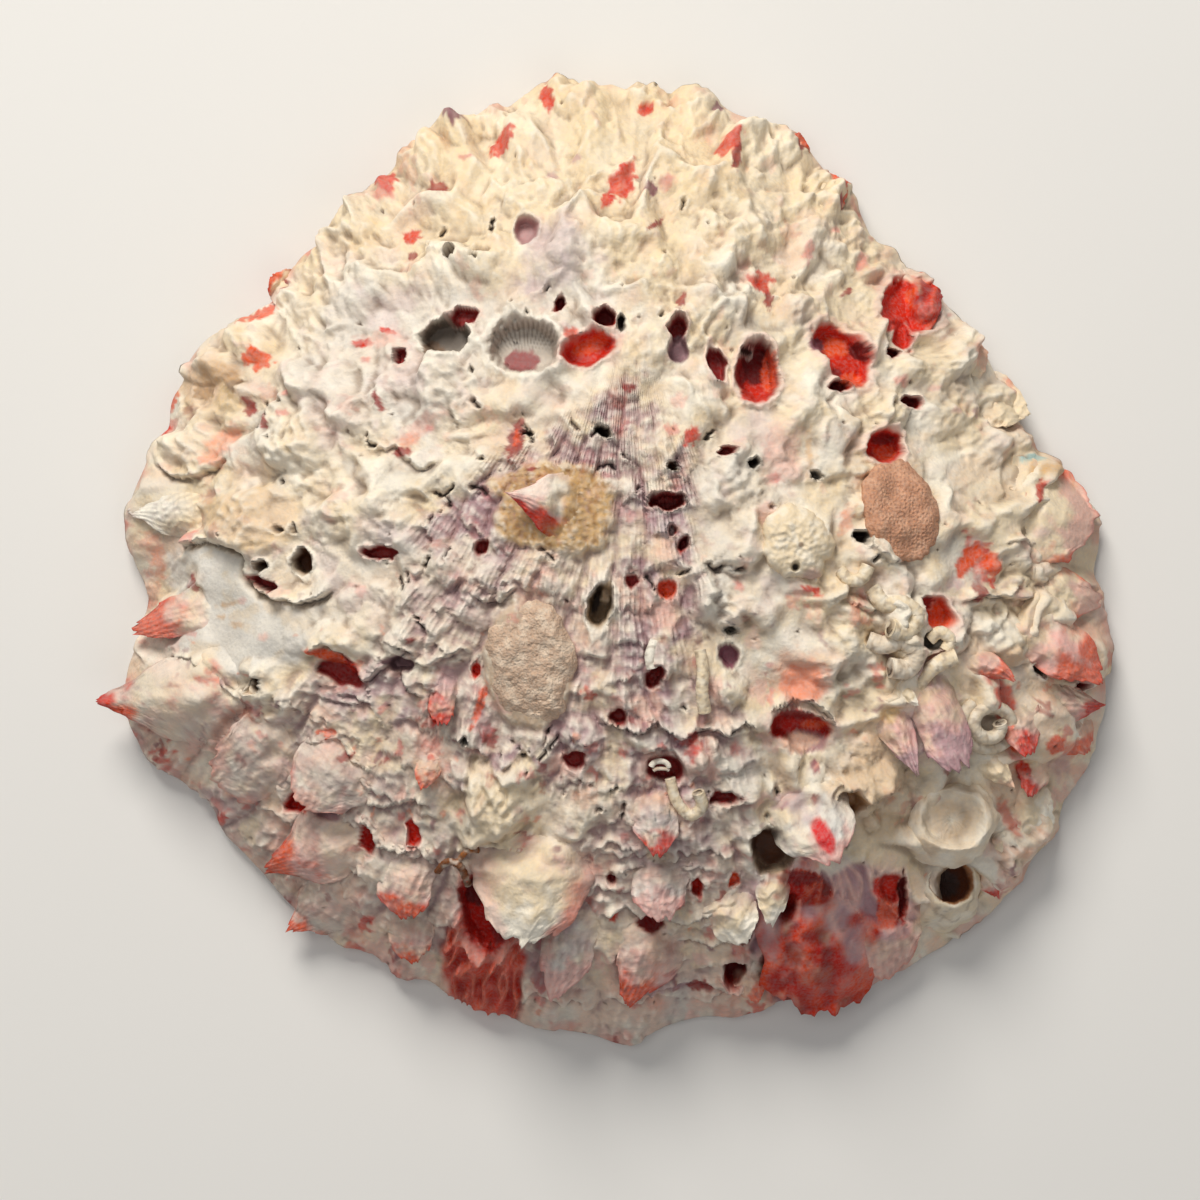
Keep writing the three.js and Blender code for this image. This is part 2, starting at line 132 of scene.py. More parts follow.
def cells(x, y, scale, seed=0):
    """Distance to the nearest and second nearest scattered point, and a number for the nearest."""
    fx, fy = np.asarray(x, float) / scale, np.asarray(y, float) / scale
    ix, iy = np.floor(fx), np.floor(fy)
    f1 = np.full(fx.shape, 9.0)
    f2 = np.full(fx.shape, 9.0)
    who = np.zeros(fx.shape)
    for ox in (-1, 0, 1):
        for oy in (-1, 0, 1):
            jx, jy = ix + ox, iy + oy
            px = jx + 0.15 + 0.7 * _hash(jx, jy, seed)
            py = jy + 0.15 + 0.7 * _hash(jx, jy, seed + 101)
            d = np.hypot(fx - px, fy - py)
            near = d < f1
            f2 = np.where(near, f1, np.minimum(f2, d))
            who = np.where(near, _hash(jx, jy, seed + 202), who)
            f1 = np.where(near, d, f1)
    return f1, f2, who


def ellipse(p, q, x, y, rx, ry, turn=0.0):
    """1 on the ellipse's line, 0 at its middle. `turn` is in degrees, up the chart."""
    a = math.radians(turn)
    c, s = math.cos(a), math.sin(a)
    dx, dy = p - x, -(q - y)
    return np.hypot((c * dx + s * dy) / rx, (-s * dx + c * dy) / ry)


def polygon(p, q, points):
    """Distance to a closed outline on the chart: positive inside."""
    pts = np.array(points, float)
    best = np.full(p.shape, 1e9)
    inside = np.zeros(p.shape, bool)
    for (x1, y1), (x2, y2) in zip(pts, np.roll(pts, -1, axis=0)):
        ex, ey = x2 - x1, y2 - y1
        t = np.clip(((p - x1) * ex + (q - y1) * ey) / (ex * ex + ey * ey + 1e-9), 0, 1)
        best = np.minimum(best, np.hypot(p - x1 - t * ex, q - y1 - t * ey))
        crosses = ((y1 > q) != (y2 > q)) & (p < (x2 - x1) * (q - y1) / ((y2 - y1) if y2 != y1 else 1e-9) + x1)
        inside ^= crosses
    return np.where(inside, best, -best)


def polyline(p, q, points):
    """Distance to an open line on the chart, and which side: positive to its right as it runs."""
    pts = np.array(points, float)
    best = np.full(p.shape, 1e9)
    side = np.zeros(p.shape)
    for (x1, y1), (x2, y2) in zip(pts[:-1], pts[1:]):
        ex, ey = x2 - x1, y2 - y1
        t = np.clip(((p - x1) * ex + (q - y1) * ey) / (ex * ex + ey * ey + 1e-9), 0, 1)
        d = np.hypot(p - x1 - t * ex, q - y1 - t * ey)
        near = d < best
        best = np.where(near, d, best)
        side = np.where(near, np.sign(ex * (q - y1) - ey * (p - x1)), side)
    return best, side


# ---------------------------------------------------------------- features
# Mounds of lime crust: x, y, radius, height in mm.
MOUNDS = [
    (575, 92, 30, 3), (648, 92, 24, 3), (692, 108, 28, 2.2), (605, 140, 42, 1.6), (492, 120, 20, 2.6), (460, 132, 22, 2.6),
    (420, 160, 28, 3), (388, 192, 24, 2.6), (345, 235, 28, 2.6), (288, 282, 26, 2), (350, 285, 42, 2), (440, 205, 28, 1.5),
    (525, 180, 36, 2), (478, 258, 28, 2.2), (570, 250, 28, 2.2), (650, 262, 28, 1.6), (700, 190, 32, 2), (745, 150, 28, 2.4),
    (785, 148, 22, 3), (826, 192, 26, 3.2), (772, 222, 36, 2), (715, 250, 36, 2), (850, 250, 30, 2.2), (905, 300, 30, 2.6),
    (962, 352, 28, 2.6), (1006, 398, 24, 3), (950, 395, 32, 2), (885, 405, 22, 1.6), (1022, 442, 22, 2.4), (1044, 468, 18, 2.2),
    (985, 445, 30, 2), (330, 340, 36, 2.2), (300, 432, 44, 3.2), (250, 340, 26, 2), (214, 366, 22, 2.4), (400, 365, 30, 2),
    (200, 450, 30, 2.2), (245, 515, 36, 2.6), (330, 520, 26, 2), (395, 520, 32, 2.4), (452, 395, 36, 2.6), (640, 350, 30, 2),
    (700, 320, 30, 2), (800, 320, 30, 2.2), (655, 440, 32, 1.6), (730, 480, 36, 2.2), (720, 600, 30, 3.2), (730, 690, 20, 2.4),
    (480, 580, 26, 2.4), (540, 570, 26, 2), (330, 640, 26, 2), (270, 700, 30, 2), (420, 640, 34, 2.4), (500, 790, 36, 3.6),
    (610, 690, 24, 1.6), (585, 740, 26, 2.6), (700, 755, 22, 2.8), (650, 735, 22, 2), (600, 800, 26, 2), (820, 700, 26, 2),
    (860, 780, 36, 3.2), (905, 620, 28, 3.4), (905, 650, 20, 2.6), (1010, 640, 26, 2.8), (1030, 560, 30, 2.4), (850, 620, 26, 2),
    (560, 330, 24, 1.4), (620, 240, 26, 1.8), (610, 420, 30, 1), (560, 520, 34, 2), (800, 400, 26, 1.4), (380, 430, 26, 1.8),
    (1020, 830, 30, 2.4), (980, 870, 20, 1.6), (930, 840, 26, 2),
]
MORE_MOUNDS = [
    (500, 792, 50, 2.6), (478, 818, 30, 1.4), (520, 815, 28, 1.0), (300, 450, 44, 1.2), (265, 540, 26, 0.8),
    (530, 100, 22, 1.4), (512, 135, 18, 1.2), (455, 256, 15, 1.6), (500, 246, 17, 1.2), (430, 275, 22, 1.4),
    (405, 290, 24, 1.2), (360, 210, 22, 1.2), (372, 262, 24, 1.4), (320, 262, 18, 1.4), (310, 320, 26, 1.4),
    (560, 140, 20, 1.2), (588, 200, 22, 1.0), (548, 262, 18, 1.2), (600, 268, 20, 1.4), (640, 200, 18, 1.0),
    (668, 160, 20, 1.2), (712, 226, 16, 1.5), (700, 300, 22, 1.4), (738, 300, 20, 1.6), (660, 265, 15, 1.0),
    (808, 240, 20, 1.4), (790, 300, 20, 1.4), (760, 250, 16, 1.0), (860, 200, 16, 1.2), (870, 300, 18, 1.2),
    (930, 330, 20, 1.4), (895, 418, 14, 1.4), (935, 425, 20, 1.4), (965, 420, 18, 1.2), (905, 372, 16, 0.9),
    (430, 372, 18, 1.2), (480, 372, 16, 1.0), (380, 400, 16, 1.6), (352, 422, 14, 1.4), (372, 470, 18, 1.4),
    (300, 380, 26, 1.6), (275, 455, 24, 1.4), (235, 420, 18, 1.2), (190, 420, 16, 1.4), (175, 450, 18, 1.0),
    (200, 468, 18, 1.2), (290, 488, 18, 1.2), (345, 490, 16, 1.2), (445, 560, 18, 1.2), (505, 590, 14, 1.4),
    (560, 590, 20, 1.2), (470, 610, 18, 1.2), (400, 600, 18, 1.4), (370, 620, 20, 1.4), (430, 610, 14, 1.2),
    (255, 668, 13, 1.8), (250, 695, 14, 1.2), (305, 640, 20, 1.0), (450, 655, 16, 1.2), (600, 580, 16, 1.0),
    (705, 610, 14, 1.6), (738, 610, 15, 1.6), (740, 560, 20, 1.2), (690, 560, 16, 0.8), (765, 505, 18, 1.0),
    (745, 520, 16, 1.2), (810, 470, 16, 1.0), (850, 470, 20, 1.2), (855, 430, 18, 1.0), (860, 505, 14, 1.4),
    (855, 560, 20, 1.4), (890, 590, 18, 1.6), (925, 585, 12, 1.0), (842, 640, 16, 1.2), (870, 660, 20, 1.6),
    (885, 680, 12, 1.0), (955, 620, 16, 1.2), (960, 640, 12, 1.4), (985, 620, 14, 1.4), (1015, 590, 18, 1.4),
    (1045, 575, 16, 1.2), (990, 575, 16, 1.2), (975, 520, 20, 1.2), (1020, 490, 16, 0.8), (990, 490, 14, 1.0),
    (700, 800, 22, 1.6), (690, 830, 16, 1.4), (735, 790, 16, 1.2), (720, 815, 14, 1.6), (760, 790, 16, 1.4),
    (835, 755, 16, 1.4), (850, 742, 12, 1.6), (815, 775, 14, 1.0), (790, 768, 12, 0.8), (868, 745, 16, 1.6),
    (885, 775, 18, 1.4), (900, 800, 16, 1.0), (872, 822, 10, 1.8), (905, 835, 12, 1.8), (850, 800, 12, 1.4),
    (575, 880, 14, 1.6), (590, 845, 12, 1.4), (560, 860, 12, 1.0), (690, 870, 12, 1.2), (722, 860, 14, 1.4),
    (620, 870, 10, 0.9), (610, 905, 12, 1.2), (470, 735, 16, 1.6), (462, 765, 12, 1.4), (482, 752, 10, 1.0),
    (545, 740, 12, 0.6), (490, 620, 14, 1.2), (395, 640, 14, 1.2), (380, 590, 14, 1.0), (350, 600, 14, 1.0),
    (1000, 845, 14, 1.0), (1040, 830, 14, 1.0), (1005, 862, 10, 1.4), (1040, 800, 18, 1.0), (985, 700, 12, 0.8),
]

# Hollows: x, y, half width, half height, turn, depth, lip, paint of the floor; the paints named hole are painted shade.
HOLLOWS = [
    (447, 338, 27, 19, 0, 4.6, 0.5, 'hole_grey'), (525, 346, 37, 28, 2, 5.4, 0.7, 'hole_pale'),
    (588, 349, 30, 16, 22, 2.2, 0.4, 'red'), (604, 317, 12, 10, 10, 3.2, 0.5, 'hole_red'),
    (621, 322, 4, 9, 0, 2.0, 0.2, 'hole'), (677, 330, 10, 13, -20, 2.4, 0.5, 'maroon'),
    (678, 350, 12, 14, 0, 1.6, 0.0, 'shade_purple'),
    (716, 366, 10, 19, 12, 2.2, 0.5, 'maroon'), (757, 372, 21, 30, 8, 5.0, 0.8, 'hole_red'),
    (747, 351, 6, 5, 0, 2.0, 0.2, 'hole'), (842, 356, 38, 20, -50, 2.2, 0.4, 'red'),
     
    (838, 386, 10, 6, -10, 2.6, 0.3, 'hole_red'), (938, 614, 14, 19, 18, 2.4, 0.7, 'redorange'), (928, 602, 7, 6, 18, 1.6, 0.0, 'maroon'),
    (908, 306, 31, 27, -28, 1.7, 0.5, 'red'), (902, 336, 9, 16, 10, 2.0, 0.3, 'red'),
    (884, 445, 18, 18, 25, 3.2, 0.7, 'red'), (889, 354, 8, 6, 10, 1.8, 0.3, 'hole_red'),
    (910, 402, 10, 6, -10, 2.0, 0.3, 'hole_red'), (668, 501, 18, 9, 0, 3.0, 0.6, 'hole_red'),
    (672, 530, 5, 7, 0, 2.0, 0.2, 'hole_red'), (683, 545, 5, 9, -30, 2.0, 0.2, 'hole_red'),
    (600, 606, 13, 25, -14, 4.4, 0.7, 'hole_tan'), (304, 563, 9, 14, 0, 3.6, 0.6, 'hole_brown'),
    (268, 566, 8, 6, 10, 2.6, 0.4, 'hole_brown'), (735, 970, 13, 12, 20, 3.4, 0.6, 'hole_red'),
    (788, 910, 10, 15, -20, 3.6, 0.2, 'hole_red'), (772, 852, 22, 26, 25, 4.6, 0.2, 'hole_brown'),
    (486, 912, 27, 40, 14, 4.6, 0.2, 'deepred'), 
    (666, 768, 21, 13, 0, 2.8, 0.3, 'maroon'), (860, 537, 8, 7, 0, 2.6, 0.4, 'hole'),
    (1040, 666, 7, 10, -20, 2.8, 0.6, 'hole_grey'), (268, 583, 18, 6, -20, 1.2, 0.0, 'maroon'),
    (380, 553, 17, 7, 0, 1.8, 0.4, 'maroon'), (482, 547, 7, 9, 0, 1.4, 0.4, 'maroon'),
    (526, 230, 12, 14, 0, 1.8, 0.4, 'pinkgrey'), (465, 316, 15, 9, 15, 1.8, 0.3, 'maroon'),
    (560, 304, 5, 9, -20, 1.8, 0.2, 'hole_red'), (402, 358, 5, 10, -10, 1.2, 0.2, 'maroon'),
    (655, 676, 8, 14, -25, 2.2, 0.2, 'maroon'), (667, 590, 11, 11, 0, 1.4, 0.2, 'redorange'),
    (632, 581, 7, 7, 0, 1.0, 0.3, 'maroon'), (731, 630, 6, 5, 0, 2.0, 0.7, 'hole_grey'),
    (730, 656, 11, 12, 0, 1.4, 0.4, 'purple'), (298, 803, 12, 9, -20, 2.0, 0.0, 'deepred'),
    (325, 812, 18, 8, -25, 2.0, 0.0, 'shade_purple'), (258, 682, 6, 8, 0, 2.4, 0.3, 'hole_brown'),
    (438, 708, 9, 16, 0, 1.4, 0.2, 'red'), (400, 662, 16, 8, 0, 2.0, 0.0, 'shade_purple'),
    (340, 672, 26, 12, -25, 1.6, 0.0, 'maroon'), (892, 888, 13, 16, 0, 1.6, 0.4, 'deepred'), (958, 884, 24, 22, 0, 3.2, 0.0, 'tanpale'),
    (903, 900, 4, 26, 0, 2.0, 0.0, 'hole_red'), (800, 728, 34, 17, -8, 3.0, 0.3, 'deepred'),
    (806, 742, 22, 12, 0, 0.8, 0.0, 'pinkgrey'), (697, 886, 6, 9, 0, 1.8, 0.3, 'red'),
    (612, 878, 5, 5, 0, 1.2, 0.2, 'maroon'), (735, 879, 6, 8, 0, 1.0, 0.2, 'redorange'),
    (650, 925, 13, 10, 0, 1.8, 0.0, 'maroon'), (745, 935, 7, 8, 0, 1.4, 0.0, 'maroon'),
    (575, 760, 12, 10, 30, 1.4, 0.3, 'maroon'), (724, 797, 16, 6, 10, 1.4, 0.3, 'maroon'),
    (618, 716, 9, 8, 0, 1.4, 0.3, 'maroon'), (476, 670, 5, 8, 0, 1.4, 0.2, 'red'),
    (367, 838, 8, 16, 10, 1.6, 0.0, 'deepred'), (414, 834, 7, 14, 12, 1.4, 0.2, 'red'),
    (930, 640, 14, 10, 0, 2.6, 0.2, 'hole_grey'), (455, 262, 6, 4, 0, 0.6, 0, 'shade'),
    (815, 475, 5, 4, -30, 1.4, 0.3, 'hole_grey'), (726, 451, 7, 5, 15, 1.2, 0.6, 'maroon'),
    (753, 463, 6, 5, 20, 1.6, 0.4, 'hole'), (672, 467, 5, 5, 20, 1.0, 0.4, 'hole_brown'),
    (466, 738, 4, 4, 0, 1.8, 0.5, 'hole'), (1075, 684, 6, 4, 0, 1.0, 0.2, 'maroon'),
    (846, 800, 14, 17, -30, 1.0, 0.1, 'shade_brown'), (603, 432, 9, 5, -30, 1.6, 0.2, 'hole'),
]

# Painted spots with hardly any depth: x, y, half width, half height, turn, paint.
SPOTS = [
    (499, 800, 42, 32, 10, 'cream'),
    (390, 186, 13, 10, -50, 'red'), (388, 200, 12, 8, 20, 'pink'), (439, 190, 10, 7, 0, 'maroon'), (412, 238, 9, 7, 20, 'red'),
    (413, 257, 5, 4, 0, 'maroon'), (503, 147, 15, 8, 22, 'red'), (548, 108, 7, 10, 10, 'red'),
    (460, 131, 9, 9, 0, 'purple'), (450, 150, 6, 9, 10, 'tan'), (645, 112, 9, 4, 15, 'red'), (622, 184, 11, 22, -28, 'red'),
    (607, 202, 5, 8, -20, 'red'), (666, 187, 10, 6, 5, 'pink'), (651, 193, 7, 5, 20, 'purple'), (552, 178, 8, 5, 0, 'pinkgrey'),
    (577, 160, 6, 4, 0, 'pinkgrey'), (469, 165, 7, 4, 0, 'pink'), (727, 152, 10, 12, -30, 'red'),
    (733, 168, 5, 12, -8, 'maroon'), (718, 112, 7, 4, 10, 'purple'), (752, 124, 8, 4, 0, 'purple'),
    (797, 148, 4, 12, 0, 'maroon'), (839, 184, 9, 10, -30, 'red'), (836, 208, 6, 6, 0, 'maroon'),
    (805, 258, 6, 11, 0, 'pink'), (833, 234, 7, 4, 10, 'pink'), (858, 266, 7, 11, 0, 'pink'), (930, 299, 10, 12, 0, 'pink'),
    (761, 283, 12, 11, 20, 'red'), (768, 300, 4, 9, 0, 'maroon'), (656, 227, 12, 2.5, 48, 'maroon'),
    (681, 303, 4, 9, -20, 'maroon'), (846, 293, 7, 3, 35, 'maroon'), (552, 250, 34, 36, 0, 'lavender'),
    (535, 285, 16, 12, 0, 'lavender'), (387, 331, 9, 3, -15, 'red'), (362, 343, 10, 4, 15, 'red'),
    (366, 360, 6, 4, 0, 'pink'), (385, 340, 26, 10, 0, 'pinkpale'), (380, 402, 4, 11, 20, 'maroon'),
    (259, 360, 13, 10, 0, 'redorange'), (291, 395, 5, 4, 20, 'pink'), (290, 415, 6, 5, 30, 'pink'),
    (270, 423, 5, 8, 30, 'maroon'), (251, 408, 6, 10, 10, 'maroon'), (228, 442, 12, 24, -35, 'salmon'), (216, 460, 14, 8, 0, 'salmon'),
    (168, 402, 7, 20, -25, 'redorange'), (166, 430, 6, 6, 0, 'red'), (262, 316, 20, 7, 32, 'redorange'),
    (281, 281, 8, 4, -30, 'maroon'), (288, 288, 4, 6, -40, 'maroon'), (310, 253, 6, 5, 0, 'pink'), (335, 226, 14, 4, 30, 'pinkpale'),
    (972, 356, 15, 13, 0, 'salmon'), (1013, 382, 9, 7, 0, 'red'), (1040, 470, 13, 11, 0, 'ochre'),
    (1031, 492, 5, 13, -8, 'red'), (1023, 459, 7, 5, 0, 'blue'), (898, 383, 8, 5, -20, 'pink'),
    (930, 390, 6, 4, 0, 'pinkpale'), (950, 413, 7, 4, 0, 'pinkpale'), (972, 414, 6, 6, 0, 'pinkgrey'),
    (516, 440, 9, 20, -12, 'maroon'), (517, 437, 4, 8, -10, 'redorange'), (532, 470, 4, 3, 0, 'maroon'),
    (617, 402, 13, 12, 30, 'brownred'), (629, 388, 6, 6, 0, 'maroon'), (420, 428, 30, 11, 32, 'pinkpale'),
    (410, 440, 12, 8, 20, 'salmon'), (430, 428, 6, 4, 0, 'pink'), (402, 452, 10, 5, 0, 'maroon'),
    (671, 431, 9, 8, 0, 'pink'), (690, 438, 10, 8, 20, 'red'), (678, 402, 10, 9, 0, 'pinkpale'), (739, 586, 5, 6, 0, 'pink'),
    (620, 508, 10, 9, 0, 'pinkgrey'), (665, 550, 12, 26, 0, 'salmonpale'), (665, 614, 20, 22, 0, 'pinkpale'), (205, 393, 10, 7, 0, 'dirt'),
    (235, 386, 9, 13, 20, 'dirt'), (193, 412, 9, 9, 0, 'dirtred'), (205, 385, 34, 18, 10, 'tan'),
    (225, 375, 20, 14, 0, 'tan'), (230, 400, 16, 18, 0, 'ochrepale'), (775, 478, 8, 7, 0, 'pink'), (783, 455, 26, 34, 10, 'pinkpale'),
    (766, 512, 14, 13, 0, 'pinkpale'), (846, 520, 8, 16, -20, 'salmon'), (808, 452, 4, 26, 0, 'tan'), (900, 506, 37, 52, 12, 'tan'),
    (975, 470, 26, 26, 0, 'tanpale'), (1000, 492, 22, 10, 0, 'tanpale'), (1042, 532, 10, 14, 20, 'purplepale'),
    (1078, 590, 20, 10, 0, 'pinkgrey'), (955, 583, 10, 9, 0, 'purplepale'), (978, 560, 12, 26, 18, 'red'), (990, 565, 8, 12, 20, 'redorange'),
    (975, 590, 6, 14, 0, 'maroon'), (800, 680, 28, 26, 0, 'salmon'), (790, 660, 16, 16, 0, 'salmonpale'), (852, 610, 7, 18, 0, 'salmon'),
    (812, 590, 10, 4, -20, 'red'), (817, 610, 4, 18, 0, 'salmonpale'), (862, 620, 12, 5, 0, 'salmon'), (195, 582, 5, 9, 0, 'maroon'),
    (157, 560, 9, 26, 8, 'salmon'), (152, 590, 7, 16, 0, 'salmonpale'), (180, 575, 14, 30, 10, 'whitish'), (192, 536, 10, 6, 30, 'pink'),
    (230, 604, 13, 4, 10, 'tan'), (238, 624, 8, 5, 0, 'tan'), (222, 617, 6, 3, 0, 'tan'), (268, 636, 7, 5, 0, 'pinkpale'),
    (329, 733, 9, 5, 0, 'redorange'), (330, 748, 22, 14, 30, 'pinkpale'), (345, 757, 10, 5, 30, 'maroon'), (250, 715, 12, 9, -20, 'salmon'),
    (432, 778, 10, 10, 0, 'salmon'), (415, 638, 4, 4, 0, 'maroon'), (430, 745, 16, 16, 0, 'pinkpale'), (447, 680, 12, 18, 0, 'purplepale'),
    (480, 705, 4, 22, -18, 'redorange'), (490, 735, 7, 12, 20, 'maroon'), (484, 725, 10, 10, 0, 'pinkgrey'),
    
    (565, 925, 10, 14, 0, 'purplepale'), (540, 960, 20, 30, 0, 'shade_purple'), 
    (778, 985, 18, 20, 0, 'salmondeep'), (845, 990, 16, 10, 30, 'salmondeep'), (870, 905, 30, 36, 0, 'purplepale'), (900, 932, 14, 8, -20, 'deepred'),
    (885, 960, 26, 14, 0, 'palepink'), (865, 980, 12, 14, 0, 'palepink'), (755, 905, 10, 40, 0, 'purplepale'), (718, 1010, 0.1, 0.1, 0, 'pink'),
    (660, 985, 30, 8, 0, 'purplepale'), (700, 985, 12, 5, 0, 'maroon'), (700, 960, 10, 8, 0, 'pinkpale'), (740, 950, 12, 8, 0, 'pink'),
    (615, 965, 8, 18, 0, 'pinkpale'), (600, 905, 7, 8, 0, 'pinkpale'), (612, 915, 5, 4, 0, 'red'), (560, 870, 8, 14, 0, 'pinkpale'), (575, 885, 9, 14, 0, 'salmonpale'),
    (650, 880, 14, 16, 0, 'pinkpale'), (585, 795, 14, 12, 0, 'salmonpale'), (655, 800, 16, 10, 0, 'salmonpale'), (640, 830, 12, 16, 0, 'pinkpale'),
    (618, 700, 10, 10, 0, 'pinkpale'), (655, 610, 20, 10, 0, 'pinkpale'), (745, 755, 14, 12, 0, 'pinkgrey'), (735, 748, 6, 8, 0, 'pink'),
    (745, 770, 30, 30, 0, 'greywhite'), (1005, 815, 8, 20, 20, 'palered'), (1035, 845, 14, 10, 0, 'tanpale'), (940, 690, 10, 18, 0, 'purplepale'),
    (905, 740, 30, 30, 0, 'purplepale'), (935, 700, 22, 14, 0, 'pinkgrey'), (920, 668, 16, 14, 0, 'pinkgrey'), (960, 560, 26, 30, 0, 'greywhite'),
    (870, 770, 46, 28, 0, 'tanpale'), (1065, 745, 20, 12, 0, 'salmondeep'), (1060, 765, 12, 14, 0, 'pinkgrey'), (790, 800, 24, 14, 0, 'purplepale'),
]

# Worm bores, painted near-black inside as painted shade: lines of points and a width.
BORES = [
    ([(474, 402), (475, 403)], 3.6), ([(478, 406), (481, 408)], 3.2), ([(573, 423), (578, 430)], 2.6),
    ([(526, 427), (530, 436), (532, 441)], 2.3), ([(523, 433), (534, 434)], 2.0), ([(592, 436), (600, 431), (606, 436)], 2.2),
    ([(598, 468), (608, 463), (614, 468)], 2.6), ([(435, 493), (443, 496), (455, 487)], 2.4), ([(448, 498), (450, 506)], 1.7),
    ([(471, 487), (478, 487)], 3.2), ([(481, 487), (486, 493)], 2.6), ([(483, 459), (484, 459)], 2.2),
    ([(636, 491), (639, 487)], 1.8), ([(623, 456), (628, 459)], 1.8), ([(706, 438), (712, 431)], 2.8),
    ([(708, 565), (714, 571), (722, 566)], 3.0), ([(734, 571), (743, 568)], 2.2), ([(681, 573), (688, 571)], 1.8),
    ([(794, 572), (795, 563)], 2.8), ([(771, 506), (772, 507)], 1.7), ([(773, 517), (774, 518)], 1.7),
    ([(513, 740), (514, 740)], 1.4), ([(519, 748), (520, 748)], 1.3), ([(530, 749), (531, 749)], 1.2),
    ([(523, 756), (526, 754)], 1.5), ([(528, 768), (529, 768)], 1.4), ([(500, 753), (501, 753)], 1.2),
    ([(560, 778), (561, 778)], 1.3), ([(580, 778), (581, 778)], 1.4), ([(591, 783), (592, 783)], 1.3),
    ([(563, 794), (564, 794)], 1.2), ([(598, 808), (602, 806)], 2.0), ([(541, 757), (552, 742), (558, 738)], 1.2),
    ([(549, 727), (545, 742)], 1.2), ([(432, 516), (430, 521)], 1.8), ([(440, 512), (443, 511)], 1.4), ([(418, 617), (430, 632)], 1.3),
    ([(402, 645), (412, 650)], 1.9), ([(368, 435), (366, 441)], 1.6), ([(368, 445), (376, 446)], 1.7), ([(280, 529), (284, 530)], 3.0),
    ([(296, 524), (297, 532)], 1.6), ([(283, 481), (284, 482)], 2.6), ([(232, 535), (233, 535)], 1.0), ([(266, 404), (267, 405)], 1.6), ([(283, 403), (284, 402)], 1.4),
    ([(268, 414), (270, 417)], 1.4), ([(263, 429), (264, 430)], 1.2), ([(277, 438), (278, 440)], 1.2), ([(493, 220), (491, 228)], 2.0),
    ([(441, 236), (445, 231)], 1.8), ([(478, 266), (480, 267)], 2.4), ([(431, 248), (431, 255)], 1.4), ([(546, 291), (547, 290)], 1.4),
    ([(549, 287), (550, 286)], 1.3), ([(527, 312), (528, 313)], 1.8), ([(511, 301), (512, 302)], 1.6), ([(662, 317), (660, 319)], 2.4),
    ([(684, 203), (682, 210)], 2.0), ([(513, 340), (516, 341)], 2.2), ([(472, 368), (473, 373)], 1.3), ([(645, 575), (655, 590)], 1.4),
    ([(683, 706), (686, 709)], 2.0), ([(617, 785), (611, 787)], 2.2), ([(624, 800), (622, 817)], 1.2), ([(655, 815), (656, 822)], 1.4),
    ([(671, 822), (670, 812)], 1.5), ([(708, 790), (709, 790)], 1.3), ([(703, 793), (704, 793)], 1.2), ([(727, 769), (728, 769)], 1.4),
    ([(728, 777), (729, 777)], 1.2), ([(797, 767), (798, 767)], 1.3), ([(775, 788), (778, 793)], 3.0), ([(767, 815), (770, 818)], 3.0),
    ([(841, 842), (846, 846)], 2.0), ([(566, 600), (568, 602)], 1.4), ([(545, 550), (540, 548)], 2.0), ([(555, 560), (548, 552)], 1.4),
    ([(430, 558), (424, 572)], 1.6), ([(400, 575), (404, 590)], 1.2), ([(408, 572), (410, 584)], 1.2), ([(450, 548), (444, 562)], 1.1), ([(875, 555), (868, 560)], 1.6),
]

# Edges of shell plates and crust that stand proud. Each runs left to right
# with its high side above it: points, step, how far back the rise reaches.
LEDGES = [
    ([(160, 462), (175, 478), (195, 479), (216, 470), (232, 455)], 1.1, 16),
    ([(182, 548), (205, 540), (226, 546), (250, 553), (248, 575), (262, 592), (300, 603), (320, 600), (336, 588)], 2.0, 26),
    ([(308, 658), (328, 643), (345, 655), (365, 683), (385, 667), (398, 657), (410, 690), (426, 700)], 1.7, 20),
    ([(408, 655), (425, 665), (442, 660), (462, 650), (474, 655)], 1.0, 14),
    ([(596, 722), (640, 731), (655, 722), (681, 740), (700, 729), (728, 734), (745, 722), (762, 736)], 1.5, 18),
    ([(168, 655), (200, 660), (215, 672), (232, 694), (248, 702)], 1.2, 14),
    ([(958, 602), (975, 597), (1000, 596), (1020, 601), (1036, 592)], 1.3, 18),
    ([(640, 760), (652, 748), (674, 750), (690, 778)], 1.2, 12),
    ([(700, 640), (706, 634), (714, 640)], 1.0, 10),
    ([(590, 852), (612, 840), (628, 848), (645, 846)], 0.9, 10),
    ([(604, 872), (640, 866), (668, 872), (690, 866), (718, 872)], 0.8, 10),
    ([(598, 918), (625, 905), (640, 918), (690, 922), (720, 908), (745, 905)], 1.0, 12),
    ([(670, 945), (690, 938), (712, 946), (722, 938), (748, 946)], 1.0, 10),
    ([(620, 1003), (640, 1000), (665, 985), (690, 982), (720, 985), (752, 992)], 0.9, 12),
    ([(365, 802), (385, 808), (410, 800), (436, 806)], 1.2, 14),
    ([(350, 815), (365, 822), (378, 845), (400, 850), (420, 846), (440, 872)], 1.2, 12),
    ([(470, 590), (482, 600), (500, 602), (520, 586)], 1.2, 12),
    ([(372, 452), (395, 448), (418, 470), (440, 462)], 0.9, 12),
    ([(462, 845), (480, 842), (512, 848), (520, 838)], 1.0, 12),
    ([(765, 712), (790, 702), (806, 699), (826, 714), (836, 738)], 1.6, 18),
    ([(860, 540), (872, 552), (885, 560), (905, 562)], 1.0, 12),
    ([(995, 545), (1015, 540), (1040, 548)], 0.8, 12),
    ([(845, 600), (870, 612), (885, 604), (900, 606)], 0.9, 10),
    ([(300, 690), (330, 700), (360, 705), (372, 690)], 0.7, 10),
    ([(262, 868), (285, 872), (305, 866), (345, 866), (372, 880)], 1.1, 14),
    ([(300, 745), (340, 738), (352, 760), (378, 770)], 0.8, 10),
]
